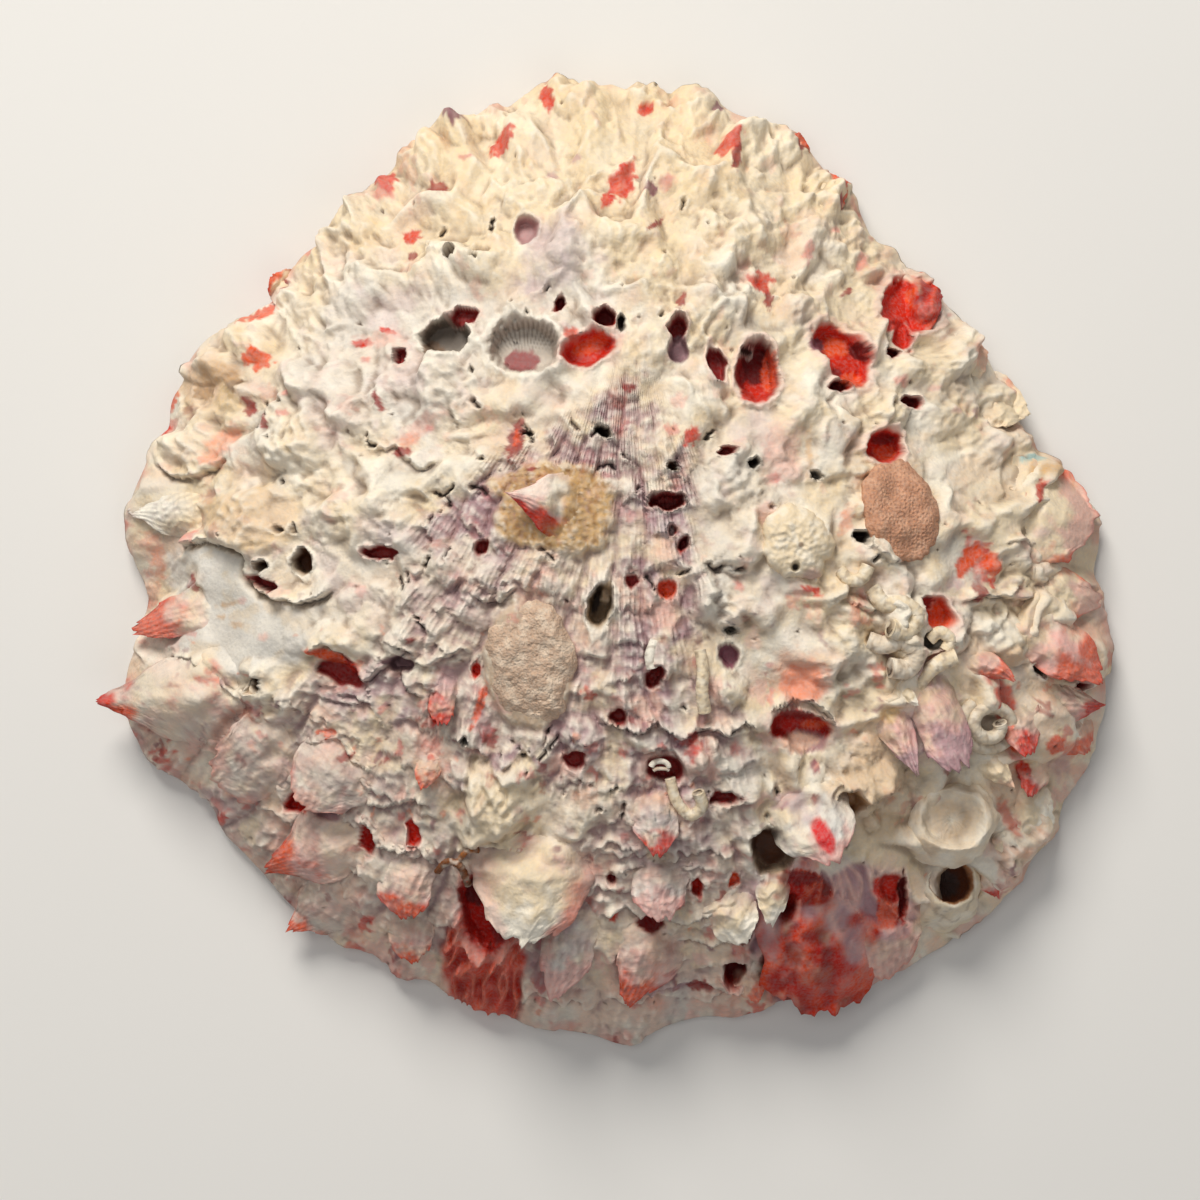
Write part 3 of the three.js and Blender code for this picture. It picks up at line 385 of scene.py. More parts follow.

# Painted after the hollows, inside or across them; those in hole paints are painted shade.
LATE_SPOTS = [

    (802, 682, 22, 18, -20, 'salmon'), (968, 560, 9, 20, -35, 'redorange'), (1012, 738, 9, 13, 0, 'redorange'), (1024, 772, 8, 12, 20, 'red'), (1046, 740, 9, 10, 0, 'salmondeep'), (118, 716, 17, 9, 20, 'redorange'), (880, 748, 30, 16, 10, 'tanpale'), (1000, 660, 22, 14, 30, 'tanpale'), (935, 700, 18, 12, 0, 'tanpale'), (1000, 700, 14, 20, 10, 'palered'), (892, 716, 14, 10, 0, 'ochrepale'), (1070, 640, 16, 26, -30, 'salmonpale'),
    (522, 359, 19, 12, 0, 'maroonpale'), (432, 348, 10, 9, 0, 'browngrey'), (757, 392, 16, 12, 0, 'red'), (770, 372, 8, 20, 0, 'redorange'),
    (740, 372, 5, 14, 0, 'maroon'), (590, 344, 22, 8, 22, 'redorange'), (572, 336, 8, 8, 0, 'palered'), (920, 296, 14, 10, 0, 'redorange'),
    (893, 318, 12, 16, 20, 'red'), (836, 346, 14, 10, 0, 'redorange'), (852, 380, 12, 8, 0, 'redorange'), (857, 352, 12, 6, -48, 'hole_red'), (816, 345, 9, 8, 0, 'purple'), (838, 372, 6, 5, 0, 'maroon'),
    (884, 438, 12, 6, 0, 'maroon'), (886, 452, 12, 8, 0, 'redorange'), (668, 497, 14, 5, 0, 'maroon'), (667, 528, 8, 10, 0, 'lavender'),
    (475, 892, 11, 18, 0, 'hole_red'), (500, 926, 12, 20, 0, 'maroon'), (815, 725, 14, 5, 0, 'redorange'),
    (797, 714, 20, 6, -6, 'maroon'), (800, 742, 20, 10, 0, 'salmonpale'), (328, 655, 22, 6, -16, 'redorange'), (352, 664, 12, 5, -50, 'red'),
    (790, 890, 16, 18, 0, 'deepred'), (800, 878, 24, 8, 0, 'maroon'), (885, 888, 14, 12, 0, 'red'), (888, 915, 10, 16, 0, 'salmondeep'),
    (607, 592, 5, 12, -14, 'tanpale'), (596, 600, 4, 18, -14, 'hole'),
]
SMOOTH_PLATE = [(182, 550), (205, 541), (226, 547), (250, 554), (247, 575), (262, 594), (300, 604), (314, 622), (318, 644),
                (300, 668), (268, 664), (240, 684), (222, 676), (206, 656), (185, 652), (165, 648), (182, 632), (203, 618), (201, 596), (204, 575), (190, 562)]
TAN_PLATE = [(195, 503), (216, 494), (250, 489), (272, 481), (288, 490), (302, 503), (302, 530), (286, 548), (262, 558), (250, 552), (233, 545), (214, 540), (204, 522)]
RIB_ZONE = [(600, 395), (520, 455), (440, 480), (420, 545), (380, 660), (300, 680), (215, 700), (120, 700), (130, 860), (260, 960), (430, 1010),
            (480, 1060), (900, 1060), (930, 960), (830, 880), (760, 800), (762, 735), (708, 650), (706, 540), (700, 470), (668, 418), (640, 380)]
WHITE_LOBE = (499, 802, 54, 46, 10)
GRAINS = (868, 792, 46, 50, 20)
CREAM_RIGHT = [(700, 400), (700, 560), (712, 650), (770, 700), (830, 860), (960, 900), (1120, 900), (1120, 640), (960, 560), (900, 400)]
RED_FOLD = [(456, 872), (482, 876), (512, 905), (527, 950), (521, 1018), (500, 1034), (480, 1042), (452, 1016), (438, 968), (446, 930), (464, 905)]
PINK_FOLD = [(762, 884), (776, 862), (800, 858), (826, 872), (852, 864), (884, 872), (906, 868), (912, 925), (884, 962), (866, 1004), (775, 1010), (757, 965), (754, 900)]
MARGIN_BAND = [(522, 985), (560, 1003), (600, 985), (625, 1006), (670, 988), (700, 984), (752, 1000), (765, 1020), (740, 1050), (560, 1060), (520, 1030)]
OVAL = (529, 666, 47, 66, 4)
OCHRE_RING = [(482, 484), (505, 472), (545, 462), (585, 464), (612, 482), (615, 520), (606, 548), (580, 556), (545, 548), (505, 545), (492, 520), (500, 500)]


# ---------------------------------------------------------------- paint
def srgb(r, g, b):
    c = np.array([r, g, b], float) / 255
    return np.where(c <= 0.04045, c / 12.92, ((c + 0.055) / 1.055) ** 2.4)


# the paints named hole are painted shade for the floors of holes and deep hollows, over the red, brown, grey or tan of
# the shell there
PAINT = {k: srgb(*v) for k, v in {
    'cream': (226, 208, 178), 'white': (236, 229, 214), 'whitish': (214, 210, 202), 'tan': (198, 164, 128), 'tanpale': (216, 190, 160),
    'ochre': (196, 152, 96), 'ochrepale': (212, 184, 142), 'rib': (205, 186, 172), 'ribdark': (138, 108, 110), 'lavender': (196, 178, 176),
    'red': (198, 58, 46), 'redorange': (216, 94, 66), 'maroon': (142, 50, 48), 'deepred': (176, 38, 30), 'brownred': (128, 58, 48),
    'pink': (206, 124, 116), 'pinkpale': (220, 178, 164), 'pinkgrey': (184, 146, 144), 'palepink': (222, 176, 166), 'palered': (212, 112, 96),
    'salmon': (220, 148, 122), 'salmonpale': (224, 184, 160), 'salmondeep': (214, 108, 86), 'purple': (132, 84, 94), 'purplepale': (186, 152, 156),
    'blue': (120, 180, 186), 'dirt': (110, 84, 60), 'dirtred': (128, 70, 54), 'greywhite': (208, 202, 190), 'shade': (120, 96, 78),
    'shade_purple': (150, 118, 122), 'shade_brown': (150, 112, 78), 'hole': (36, 24, 20), 'hole_grey': (104, 96, 88), 'hole_pale': (170, 160, 148),
    'hole_red': (92, 24, 24), 'hole_brown': (74, 44, 28), 'hole_tan': (96, 78, 58), 'septa': (196, 186, 172), 'maroonpale': (146, 84, 84), 'browngrey': (120, 98, 80),
}.items()}


def mix(base, colour, mask):
    return base + (np.asarray(colour) - base) * np.asarray(mask)[..., None]


def near_box(p, q, x, y, reach):
    return (np.abs(p - x) < reach) & (np.abs(q - y) < reach)


BEAK = (630, 270)     # where the ribs fan out from


def crust(p, q, u):
    """How much lime crust covers the ribs, 0 to 1."""
    ribs = smooth(-34, 30, polygon(p, q, RIB_ZONE) + 22 * fbm(p, q, 70, 5))
    right = smooth(-30, 30, polygon(p, q, CREAM_RIGHT) + 20 * fbm(p, q, 60, 9))
    patch = smooth(-0.15, 0.3, fbm(p, q, 52, 11, 3) + 0.05)
    lobe = smooth(1.15, 0.75, ellipse(p, q, *WHITE_LOBE) + 0.35 * noise(p, q, 30, 13))
    ribs = ribs * (1 - lobe)
    return np.clip(1 - ribs * (1 - 0.55 * patch) * (1 - 0.75 * right), 0, 1), ribs


def lime(p, q):
    """The lime crust's own relief in mm: soft knobs, a few folds with crests, and flat smears."""
    wx = p + 11 * noise(p, q, 54, 31) + 4 * noise(p, q, 20, 32)
    wy = q + 11 * noise(p, q, 54, 33) + 4 * noise(p, q, 20, 34)
    n1, n2 = noise(wx, wy, 46, 61), noise(wx, wy, 42, 62)
    knob = smooth(-0.20, 0.75, n1)
    crest = smooth(0.25, 1.0, 1 - np.abs(n2) * 1.4)
    n3, n4 = noise(wx, wy, 22, 64), noise(wx, wy, 20, 65)
    knob2 = smooth(-0.15, 0.70, n3)
    crest2 = smooth(0.35, 1.0, 1 - np.abs(n4) * 2.2)
    rough = smooth(-0.20, 0.40, noise(p, q, 80, 67))
    n5 = noise(wx, wy, 10, 66)
    small = 0.34 * smooth(0.0, 0.7, n5) + 0.06 * smooth(0.3, 1.0, 1 - np.abs(noise(wx, wy, 9.0, 68)) * 2.4)
    return 2.3 * knob + 0.30 * crest + (0.34 + 0.56 * rough) * (1.05 * knob2 + 0.14 * crest2) + (0.10 + 0.55 * rough) * small + 0.8 * fbm(p, q, 120, 69, 2)


def pleats(p, q):
    """Pleats fanning down from above the red hollow, 0 to 1."""
    dx, dy = p - 826, q - 770
    a, r = np.arctan2(dx, dy), np.hypot(dx, dy)
    return np.clip(1 - np.abs(noise(a * 150 + 6 * noise(p, q, 30, 572), r * 0.30, 13, 573)) * 1.8, 0, 1) ** 1.2


def relief(p, q, u):
    """Height over the plain dome in mm, with the crust share and the rib pattern for the paint."""
    cover, ribs = crust(p, q, u)
    plate = smooth(-3, 9, polygon(p, q, SMOOTH_PLATE))
    tanp = smooth(-3, 9, polygon(p, q, TAN_PLATE))
    calm = 1 - 0.85 * np.maximum(plate, 0.8 * tanp)

    # the shell's own ribs, fanning out from the beak, with growth steps
    dx, dy = p - BEAK[0], q - BEAK[1]
    r = np.hypot(dx, dy) + 1e-6
    turn = (np.arctan2(dx, dy) + 0.015 * noise(p, q, 60, 41)) / TAU
    main = 56 * turn + 0.30 * noise(p, q, 70, 42)
    who = np.round(main)
    across = main - who
    hump = np.cos(np.pi * across) ** 0.7
    riblet = 0.5 + 0.5 * np.cos(TAU * (3 * main + 0.3 * noise(p, q, 24, 51)))
    # every rib carries its own stack of shingles with a frilled lip
    step = 30 + 16 * _hash(who, who * 0, 43)
    frill = 4.5 * noise(p, q, 9, 44) + 6 * noise(p, q, 24, 46) - 7 * across * across * 4
    phase = (r + frill) / step + _hash(who, who * 0 + 3, 45)
    level = np.floor(phase)
    saw = phase - level
    strong = 0.35 + 0.65 * _hash(who, level, 52)
    shingle = saw ** 1.7 * smooth(1.0, 0.93, saw) * strong
    phase2 = (r + 3 * noise(p, q, 8, 47)) / (10.5 + 3 * _hash(who, who * 0, 53)) + _hash(who, who * 0 + 5, 54)
    saw2 = phase2 - np.floor(phase2)
    bead = saw2 ** 1.3 * smooth(1.0, 0.75, saw2)
    grow = smooth(60, 260, r)
    rib_h = (0.35 + 0.65 * grow) * (0.95 * hump + 1.45 * shingle * (0.4 + 0.6 * hump)) + 0.16 * riblet + 0.24 * bead * (0.4 + 0.6 * riblet)
    rib_h = rib_h + 0.8 * fbm(p, q, 46, 50, 3) + 0.25 * np.clip(1 - 2.6 * np.abs(noise(p, q, 15, 55)), 0, 1)

    crust_h = lime(p, q)
    # lumps lean outward: look up the lime a little nearer the beak where it is high
    ox, oy = p - 620, q - 440
    far = np.hypot(ox, oy) + 1e-6
    push = 2.8 * np.clip(crust_h, -0.5, 4.0)
    crust_h = lime(p - push * ox / far, q - push * oy / far)

    h = rib_h * (1 - 0.9 * smooth(0.25, 0.9, cover)) * calm + (0.4 + crust_h) * cover * calm
    h = h + 0.05 * fbm(p, q, 7, 71, 2, 0.6) * (0.3 + 0.7 * calm)
    h = h + plate * (1.5 + 1.1 * fbm(p, q, 60, 73, 2)) + tanp * (1.8 + 1.0 * fbm(p, q, 46, 74, 2))

    for i, (x, y, rad, high) in enumerate(MOUNDS + MORE_MOUNDS):
        m = near_box(p, q, x, y, rad * 1.6)
        pp, qq = p[m], q[m]
        e = np.hypot(pp - x, qq - y) / rad * (1 + 0.22 * noise(pp, qq, rad * 0.9, 80 + i) + 0.1 * noise(pp, qq, rad * 0.3, 280 + i))
        flank = np.clip(1 - e * e, 0, 1)
        add = high * (0.55 * flank ** 1.5 + 0.3 * np.sqrt(flank) * smooth(1.0, 0.8, e))
        h[m] += add * (0.9 + 0.25 * noise(pp, qq, 8, 480 + i))

    for i, (pts, high, back) in enumerate(LEDGES):
        xs, ys = [c[0] for c in pts], [c[1] for c in pts]
        m = (p > min(xs) - back) & (p < max(xs) + back) & (q > min(ys) - back - 8) & (q < max(ys) + back + 8)
        pp, qq = p[m], q[m]
        jit = 2.2 * noise(pp, qq, 9, 700 + i) + 1.2 * noise(pp, qq, 4, 720 + i)
        d, side = polyline(pp, qq + jit, pts)
        inner = side < 0
        ends = smooth(0, 10, pp - min(xs)) * smooth(0, 10, max(xs) - pp)
        rise = np.where(inner, high * smooth(back, 0, d) ** 1.3 * smooth(-0.5, 2.0, d), -0.45 * high * smooth(7, 0, d))
        h[m] += rise * ends

    # the torn red fold at the lower margin, in upright pleats
    fold_d = polygon(p, q, RED_FOLD) + 4 * noise(p, q, 14, 560)
    fold = smooth(-4, 8, fold_d)
    pleat = 1 - np.abs(noise(p * 3.0 + 0.9 * (q - 950) + 26 * noise(p, q, 34, 561), q * 1.3, 44, 562)) * 1.9
    h = h * (1 - 0.5 * fold) + fold * (1.9 * np.clip(pleat, 0, 1) ** 1.3 + 0.5 * fbm(p, q, 16, 563, 2) - 0.3)

    # the pleated, coloured hollow beside the barnacle
    fan_d = polygon(p, q, PINK_FOLD) + 5 * noise(p, q, 14, 570) + 9 * noise(p, q, 34, 569)
    fan = smooth(-6, 9, fan_d)
    h = h * (1 - 0.75 * fan) + fan * (1.3 * pleats(p, q) + 0.6 * fbm(p, q, 30, 571, 2) - 0.5)
    g1, g2, gw = cells(p + 3 * noise(p, q, 9, 575), q + 3 * noise(p, q, 9, 576), 8.0, 577)
    grainy = smooth(1.1, 0.7, ellipse(p, q, *GRAINS) + 0.2 * noise(p, q, 26, 578))
    h = h + grainy * 0.42 * np.sqrt(np.clip(1 - 1.4 * g1 ** 2, 0, 1)) * (0.4 + 0.6 * gw)

    # the oval, granular crust and the ochre crust round the middle spine
    e = ellipse(p, q, *OVAL) + 0.04 * noise(p, q, 16, 90)
    o = smooth(1.04, 0.86, e)
    c1, c2, cw = cells(p, q, 4.6, 91)
    h = h * (1 - 0.8 * o) + o * (1.3 * np.sqrt(np.clip(1 - e * e, 0, 1)) + 1.3 + 0.22 * (1 - c1) + 0.2 * fbm(p, q, 18, 92, 3))
    ring_d = polygon(p, q, OCHRE_RING) + 4 * noise(p, q, 12, 93)
    o2 = smooth(-3, 6, ring_d)
    c1, c2, cw = cells(p, q, 6.2, 94)
    h = h * (1 - 0.6 * o2) + o2 * (1.5 + 0.4 * np.clip(1 - 1.3 * c1, 0, 1))

    for i, (x, y, rx, ry, tilt, deep, lip, colour) in enumerate(HOLLOWS):
        m = near_box(p, q, x, y, max(rx, ry) * 1.9 + 4)
        pp, qq = p[m], q[m]
        e = ellipse(pp, qq, x, y, rx, ry, tilt) * (1 + min(0.3, max(0.13, 2.4 / min(rx, ry))) * noise(pp, qq, max(5, 1.15 * min(rx, ry)), 900 + i) + 0.08 * noise(pp, qq, 6, 1000 + i))
        inside = smooth(1.02, 0.62, e)
        rim = np.exp(-((e - 1.12) / 0.16) ** 2)
        base = h[m]
        floor = base * 0.25 - deep
        h[m] = base * (1 - inside) + floor * inside + lip * rim
    for pts, width in BORES:
        xs, ys = [c[0] for c in pts], [c[1] for c in pts]
        m = (p > min(xs) - 12) & (p < max(xs) + 12) & (q > min(ys) - 12) & (q < max(ys) + 12)
        d, side = polyline(p[m] + 1.6 * noise(p[m], q[m], 5, 98), q[m] + 1.6 * noise(p[m], q[m], 5, 99), pts)
        h[m] -= 1.0 * smooth(width * 0.85 + 0.9, width * 0.3, d)
        h[m] += 0.15 * np.exp(-((d - width - 1.8) / 1.6) ** 2)
    # fine worm pricks over the whole crust
    s1, s2, sw = cells(p, q, 34, 95)
    prick = smooth(0.06, 0.02, s1) * (sw < 0.20)
    h = h - 0.5 * prick * cover
    return h, cover, ribs, riblet, bead * (0.3 + 0.7 * riblet) * (0.5 + 0.5 * hump), prick, o, o2, plate, tanp


def paint(p, q, u, h, cover, ribs, riblet, bead, prick, o, o2, plate, tanp, cavity, steep):
    dusk = np.maximum.reduce([smooth(1.25, 0.55, ellipse(p, q, 662, 600, 44, 190, 0)), smooth(1.3, 0.5, ellipse(p, q, 470, 530, 46, 70, 20)), 0.8 * smooth(1.2, 0.5, ellipse(p, q, 560, 745, 90, 40, 0)),
                              0.75 * smooth(1.2, 0.5, ellipse(p, q, 600, 440, 60, 60, 0)), 0.7 * smooth(1.2, 0.5, ellipse(p, q, 660, 760, 60, 120, 0)), 0.7 * smooth(1.2, 0.5, ellipse(p, q, 370, 690, 60, 40, -30))])
    dusk = np.clip(0.25 + 0.75 * dusk + 0.5 * fbm(p, q, 40, 220, 3), 0, 1)
    base = mix(np.zeros(p.shape + (3,)) + srgb(222, 206, 186), srgb(196, 174, 172), dusk)
    # ribs: the grooves between beads are painted dusky purple, partly the shell's own tint and partly painted shade;
    # the bead crests are whitened as painted highlight
    base = mix(base, srgb(136, 100, 106), (0.20 + 0.55 * dusk) * smooth(0.30, 0.0, bead))
    base = mix(base, PAINT['white'], 0.55 * smooth(0.30, 0.75, bead))
    base = mix(base, PAINT['purplepale'], 0.35 * smooth(0.0, 0.5, fbm(p, q, 60, 201, 3)))
    base = mix(base, PAINT['salmonpale'], 0.5 * smooth(0.1, 0.45, fbm(p, q, 44, 202, 3)))
    base = mix(base, PAINT['pink'], 0.35 * smooth(0.3, 0.55, fbm(p, q, 26, 203, 3)))
    lime = np.zeros(p.shape + (3,)) + PAINT['cream']
    lime = mix(lime, PAINT['white'], 0.75 * smooth(-0.15, 0.35, fbm(p, q, 70, 204, 4)))
    lime = mix(lime, PAINT['tanpale'], 0.55 * smooth(0.05, 0.45, fbm(p, q, 42, 205, 4)))
    lime = mix(lime, PAINT['pinkpale'], 0.35 * smooth(0.15, 0.5, fbm(p, q, 58, 206, 4)))
    lime = mix(lime, PAINT['greywhite'], 0.5 * smooth(0.1, 0.4, fbm(p, q, 50, 207, 4)))
    lime = mix(lime, PAINT['ochrepale'], 0.35 * smooth(0.2, 0.5, fbm(p, q, 24, 208, 4)))
    cool = np.maximum.reduce([smooth(1.3, 0.5, ellipse(p, q, 400, 360, 150, 90, 20) + 0.5 * fbm(p, q, 60, 221, 3)), smooth(1.3, 0.5, ellipse(p, q, 560, 300, 60, 70, 0) + 0.4 * fbm(p, q, 40, 222, 3)),
                              0.8 * smooth(1.2, 0.5, ellipse(p, q, 400, 580, 140, 70, 0) + 0.4 * fbm(p, q, 50, 223, 3)), 0.7 * smooth(1.2, 0.6, ellipse(p, q, 740, 520, 60, 130, 0) + 0.4 * fbm(p, q, 50, 224, 3))])
    lime = mix(lime, srgb(212, 206, 200), 0.55 * cool)
    lime = mix(lime, srgb(214, 192, 190), 0.45 * smooth(0.05, 0.4, fbm(p, q, 34, 225, 3)) * (0.35 + 0.65 * cool))
    lime = mix(lime, srgb(226, 202, 160), 0.45 * smooth(330, 160, q + 60 * fbm(p, q, 70, 226, 2)))
    col = mix(base, lime, smooth(0.25, 0.75, cover + 0.25 * fbm(p, q, 12, 209, 3)))
    margin = smooth(-6, 10, polygon(p, q, MARGIN_BAND))
    col = mix(col, PAINT['greywhite'], 0.75 * margin)
    col = mix(col, PAINT['pinkpale'], 0.35 * margin * smooth(-0.1, 0.4, fbm(p, q, 20, 210)))
    # pink and salmon show round the lower and left margins where the crust thins
    low = smooth(0.72, 0.97, u) * smooth(560, 700, q)
    col = mix(col, PAINT['salmonpale'], 0.5 * low * smooth(-0.2, 0.3, fbm(p, q, 50, 211, 3)))
    col = mix(col, PAINT['salmondeep'], 0.30 * low * smooth(0.15, 0.45, fbm(p, q, 36, 212, 3)))
    rim = smooth(0.95, 0.995, u)
    col = mix(col, PAINT['pink'], 0.40 * rim * smooth(-0.05, 0.35, fbm(p, q, 40, 213, 3)))
    col = mix(col, PAINT['red'], 0.55 * rim * smooth(0.25, 0.5, fbm(p, q, 26, 214, 3)))

    col = mix(col, PAINT['whitish'], 0.85 * plate)
    col = mix(col, PAINT['ochrepale'], 0.35 * plate * smooth(0.05, 0.4, fbm(p, q, 24, 215, 3)))
    col = mix(col, PAINT['tanpale'], 0.8 * tanp)
    col = mix(col, PAINT['ochrepale'], 0.5 * tanp * smooth(-0.1, 0.4, fbm(p, q, 30, 216, 3)))
    col = mix(col, srgb(188, 164, 138), 0.92 * o)
    col = mix(col, srgb(212, 194, 170), 0.6 * o * smooth(0.0, 0.5, fbm(p, q, 16, 217, 3)))
    col = mix(col, srgb(196, 160, 110), 0.9 * o2)
    col = mix(col, srgb(150, 108, 64), 0.7 * o2 * smooth(0.0, 0.5, fbm(p, q, 9, 218, 2)))

    # painted shade: hollows of the surface are darkened by their concavity, and raised grains are lightened as painted
    # highlight
    col = mix(col, PAINT['shade'], 0.62 * smooth(0.04, 0.40, cavity) * (0.35 + 0.65 * cover))
    col = mix(col, PAINT['shade_purple'], 0.55 * smooth(0.04, 0.40, cavity) * (1 - cover))
    col = mix(col, PAINT['white'], 0.45 * smooth(0.05, 0.35, -cavity))

    # small scattered reds, pinks and purples
    for scale, share, size, colour, seed in ((64, 0.34, 0.16, 'red', 301), (46, 0.25, 0.13, 'maroon', 302), (38, 0.30, 0.16, 'pink', 303),
                                              (52, 0.30, 0.22, 'pinkpale', 304), (30, 0.18, 0.16, 'purple', 305), (26, 0.15, 0.12, 'salmon', 306)):
        f1, f2, w = cells(p + 5 * noise(p, q, 14, seed), q + 7 * noise(p, q, 14, seed + 50), scale, seed)
        lower = 0.25 + 0.75 * smooth(500, 760, q)
        col = mix(col, PAINT[colour], 0.7 * (w < share) * smooth(size, size * 0.55, f1 + 0.10 * noise(p, q, 6, seed + 90)) * lower)

    for i, (x, y, rx, ry, tilt, colour) in enumerate(SPOTS):
        m = near_box(p, q, x, y, max(rx, ry) * 1.8 + 4)
        pp, qq = p[m], q[m]
        rough = 0.38 * noise(pp, qq, max(5, 0.7 * min(rx, ry)), 1200 + i) + 0.2 * noise(pp, qq, 4, 1300 + i)
        e = ellipse(pp, qq, x, y, rx, ry, tilt) + rough
        soft = 0.35 if colour in ('red', 'maroon', 'redorange', 'purple', 'deepred', 'dirt') else 0.75
        strength = 0.95 if soft < 0.5 else 0.75
        streak = 0.90 + 0.10 * noise(pp, qq, 7, 1400 + i)
        col[m] = mix(col[m], PAINT[colour] * (0.85 + 0.3 * _noise01(pp, qq, 6, 1500 + i))[..., None], strength * streak * smooth(1.15, 1.15 - soft, e))
    # the red fold's own reds follow its pleats, with painted shade deep in the grooves and lighter salmon on the crests
    # as painted highlight; the paler red patches toward the bottom are partly its own colour and partly painted
    # highlight
    fold = smooth(-3, 7, polygon(p, q, RED_FOLD) + 4 * noise(p, q, 14, 560))
    pleat = 1 - np.abs(noise(p * 3.0 + 0.9 * (q - 950) + 26 * noise(p, q, 34, 561), q * 1.3, 44, 562)) * 1.9
    red = mix(np.zeros(p.shape + (3,)) + PAINT['deepred'], PAINT['salmondeep'], 0.9 * smooth(-0.1, 0.9, pleat + 0.5 * noise(p, q, 24, 566)))
    red = mix(red, PAINT['hole_red'], 0.45 * smooth(0.1, -0.5, pleat))
    red = mix(red, PAINT['palered'], 0.75 * smooth(-0.1, 0.4, fbm(p, q, 26, 564, 3)) * smooth(930, 980, q))
    red = mix(red, PAINT['red'], 0.5 * smooth(0.0, 0.4, fbm(p, q, 20, 565, 3)))
    col = mix(col, red, 0.95 * fold)
    # in the pleated hollow the tones follow the pleats: purple deep in the grooves is painted shade, red-orange on the
    # crests of its red parts painted highlight, and the dark red toward its upper left partly its own red and partly
    # painted shade
    fan = smooth(-6, 8, polygon(p, q, PINK_FOLD) + 5 * noise(p, q, 14, 570) + 9 * noise(p, q, 34, 569))
    pl = pleats(p, q)
    tone = mix(np.zeros(p.shape + (3,)) + PAINT['purplepale'], PAINT['palepink'], smooth(0.2, 0.9, pl))
    tone = mix(tone, PAINT['purple'], 0.45 * smooth(0.25, 0.0, pl))
    hot = np.maximum.reduce([smooth(1.15, 0.6, ellipse(p, q, 800, 888, 40, 22, -10)), smooth(1.1, 0.7, ellipse(p, q, 806, 966, 50, 46, 0)), smooth(1.2, 0.6, ellipse(p, q, 892, 900, 18, 32, 0)), 0.6 * smooth(1.2, 0.6, ellipse(p, q, 865, 930, 20, 24, 0))])
    hot = smooth(0.3, 0.7, hot + 0.35 * fbm(p, q, 26, 574, 3))
    ember = mix(np.zeros(p.shape + (3,)) + PAINT['deepred'], PAINT['redorange'], 0.75 * smooth(0.25, 0.95, pl))
    ember = mix(ember, PAINT['hole_red'], 0.7 * smooth(0.2, 0.0, pl))
    tone = mix(tone, ember, hot)
    col = mix(col, tone, 0.92 * fan)
    grainy = smooth(1.1, 0.7, ellipse(p, q, *GRAINS) + 0.2 * noise(p, q, 26, 578))
    col = mix(col, srgb(206, 180, 148), 0.6 * grainy)

    for i, (x, y, rx, ry, tilt, deep, lip, colour) in enumerate(HOLLOWS):
        m = near_box(p, q, x, y, max(rx, ry) * 1.9 + 4)
        pp, qq = p[m], q[m]
        e = ellipse(pp, qq, x, y, rx, ry, tilt) * (1 + min(0.3, max(0.13, 2.4 / min(rx, ry))) * noise(pp, qq, max(5, 1.15 * min(rx, ry)), 900 + i) + 0.08 * noise(pp, qq, 6, 1000 + i))
        up = (y - qq) / ry
        tone = 1.0 + 0.14 * noise(pp, qq, 10, 1600 + i)
        floor = np.clip(PAINT[colour] * tone[..., None], 0, 1)
        # hole floors are painted shade: darker toward their upper side under the wall, with the lower wall painted
        # paler as painted light
        if colour.startswith('hole'):
            floor = np.clip(floor * 1.7, 0, 1) * (0.7 + 0.3 * smooth(-0.2, -0.9, up))[..., None]
            side = 'red' if colour == 'hole_red' else ('tanpale' if colour in ('hole_tan', 'hole_brown') else 'septa')
            wall = smooth(0.45, 0.95, e) * smooth(1.12, 0.98, e) * smooth(0.25, -0.5, up)
            floor = mix(floor, PAINT[side], 0.75 * wall)
        col[m] = mix(col[m], floor, smooth(1.08, 0.84, e))
        ringy = np.exp(-((e - 1.14) / 0.12) ** 2)
        if colour in ('red', 'maroon', 'hole_red', 'deepred', 'redorange'):
            col[m] = mix(col[m], PAINT['pinkpale'], 0.5 * ringy)
        elif colour.startswith('hole'):
            col[m] = mix(col[m], PAINT['white'], 0.5 * ringy)
    for i, (x, y, rx, ry, tilt, colour) in enumerate(LATE_SPOTS):
        m = near_box(p, q, x, y, max(rx, ry) * 1.8 + 4)
        pp, qq = p[m], q[m]
        e = ellipse(pp, qq, x, y, rx, ry, tilt) + 0.25 * noise(pp, qq, max(5, 0.7 * min(rx, ry)), 2300 + i) + 0.06 * noise(pp, qq, 5, 2330 + i)
        col[m] = mix(col[m], PAINT[colour] * (0.90 + 0.2 * _noise01(pp, qq, 10, 2360 + i))[..., None], 0.95 * smooth(1.1, 0.8, e))
    # fine partitions down the back wall of the open cup
    m = near_box(p, q, 527, 340, 44)
    pp, qq = p[m], q[m]
    e = ellipse(pp, qq, 525, 346, 37, 28, 2)
    spoke = 0.5 + 0.5 * np.cos(TAU * np.arctan2(pp - 525, 372 - qq) * 9.5 + 0.25 * noise(pp, qq, 12, 2391))
    zone = smooth(0.98, 0.86, e) * smooth(352, 340, qq)
    col[m] = mix(col[m], mix(np.zeros(pp.shape + (3,)) + srgb(200, 194, 184), srgb(146, 136, 126), smooth(0.6, 0.1, spoke)), 0.80 * zone)
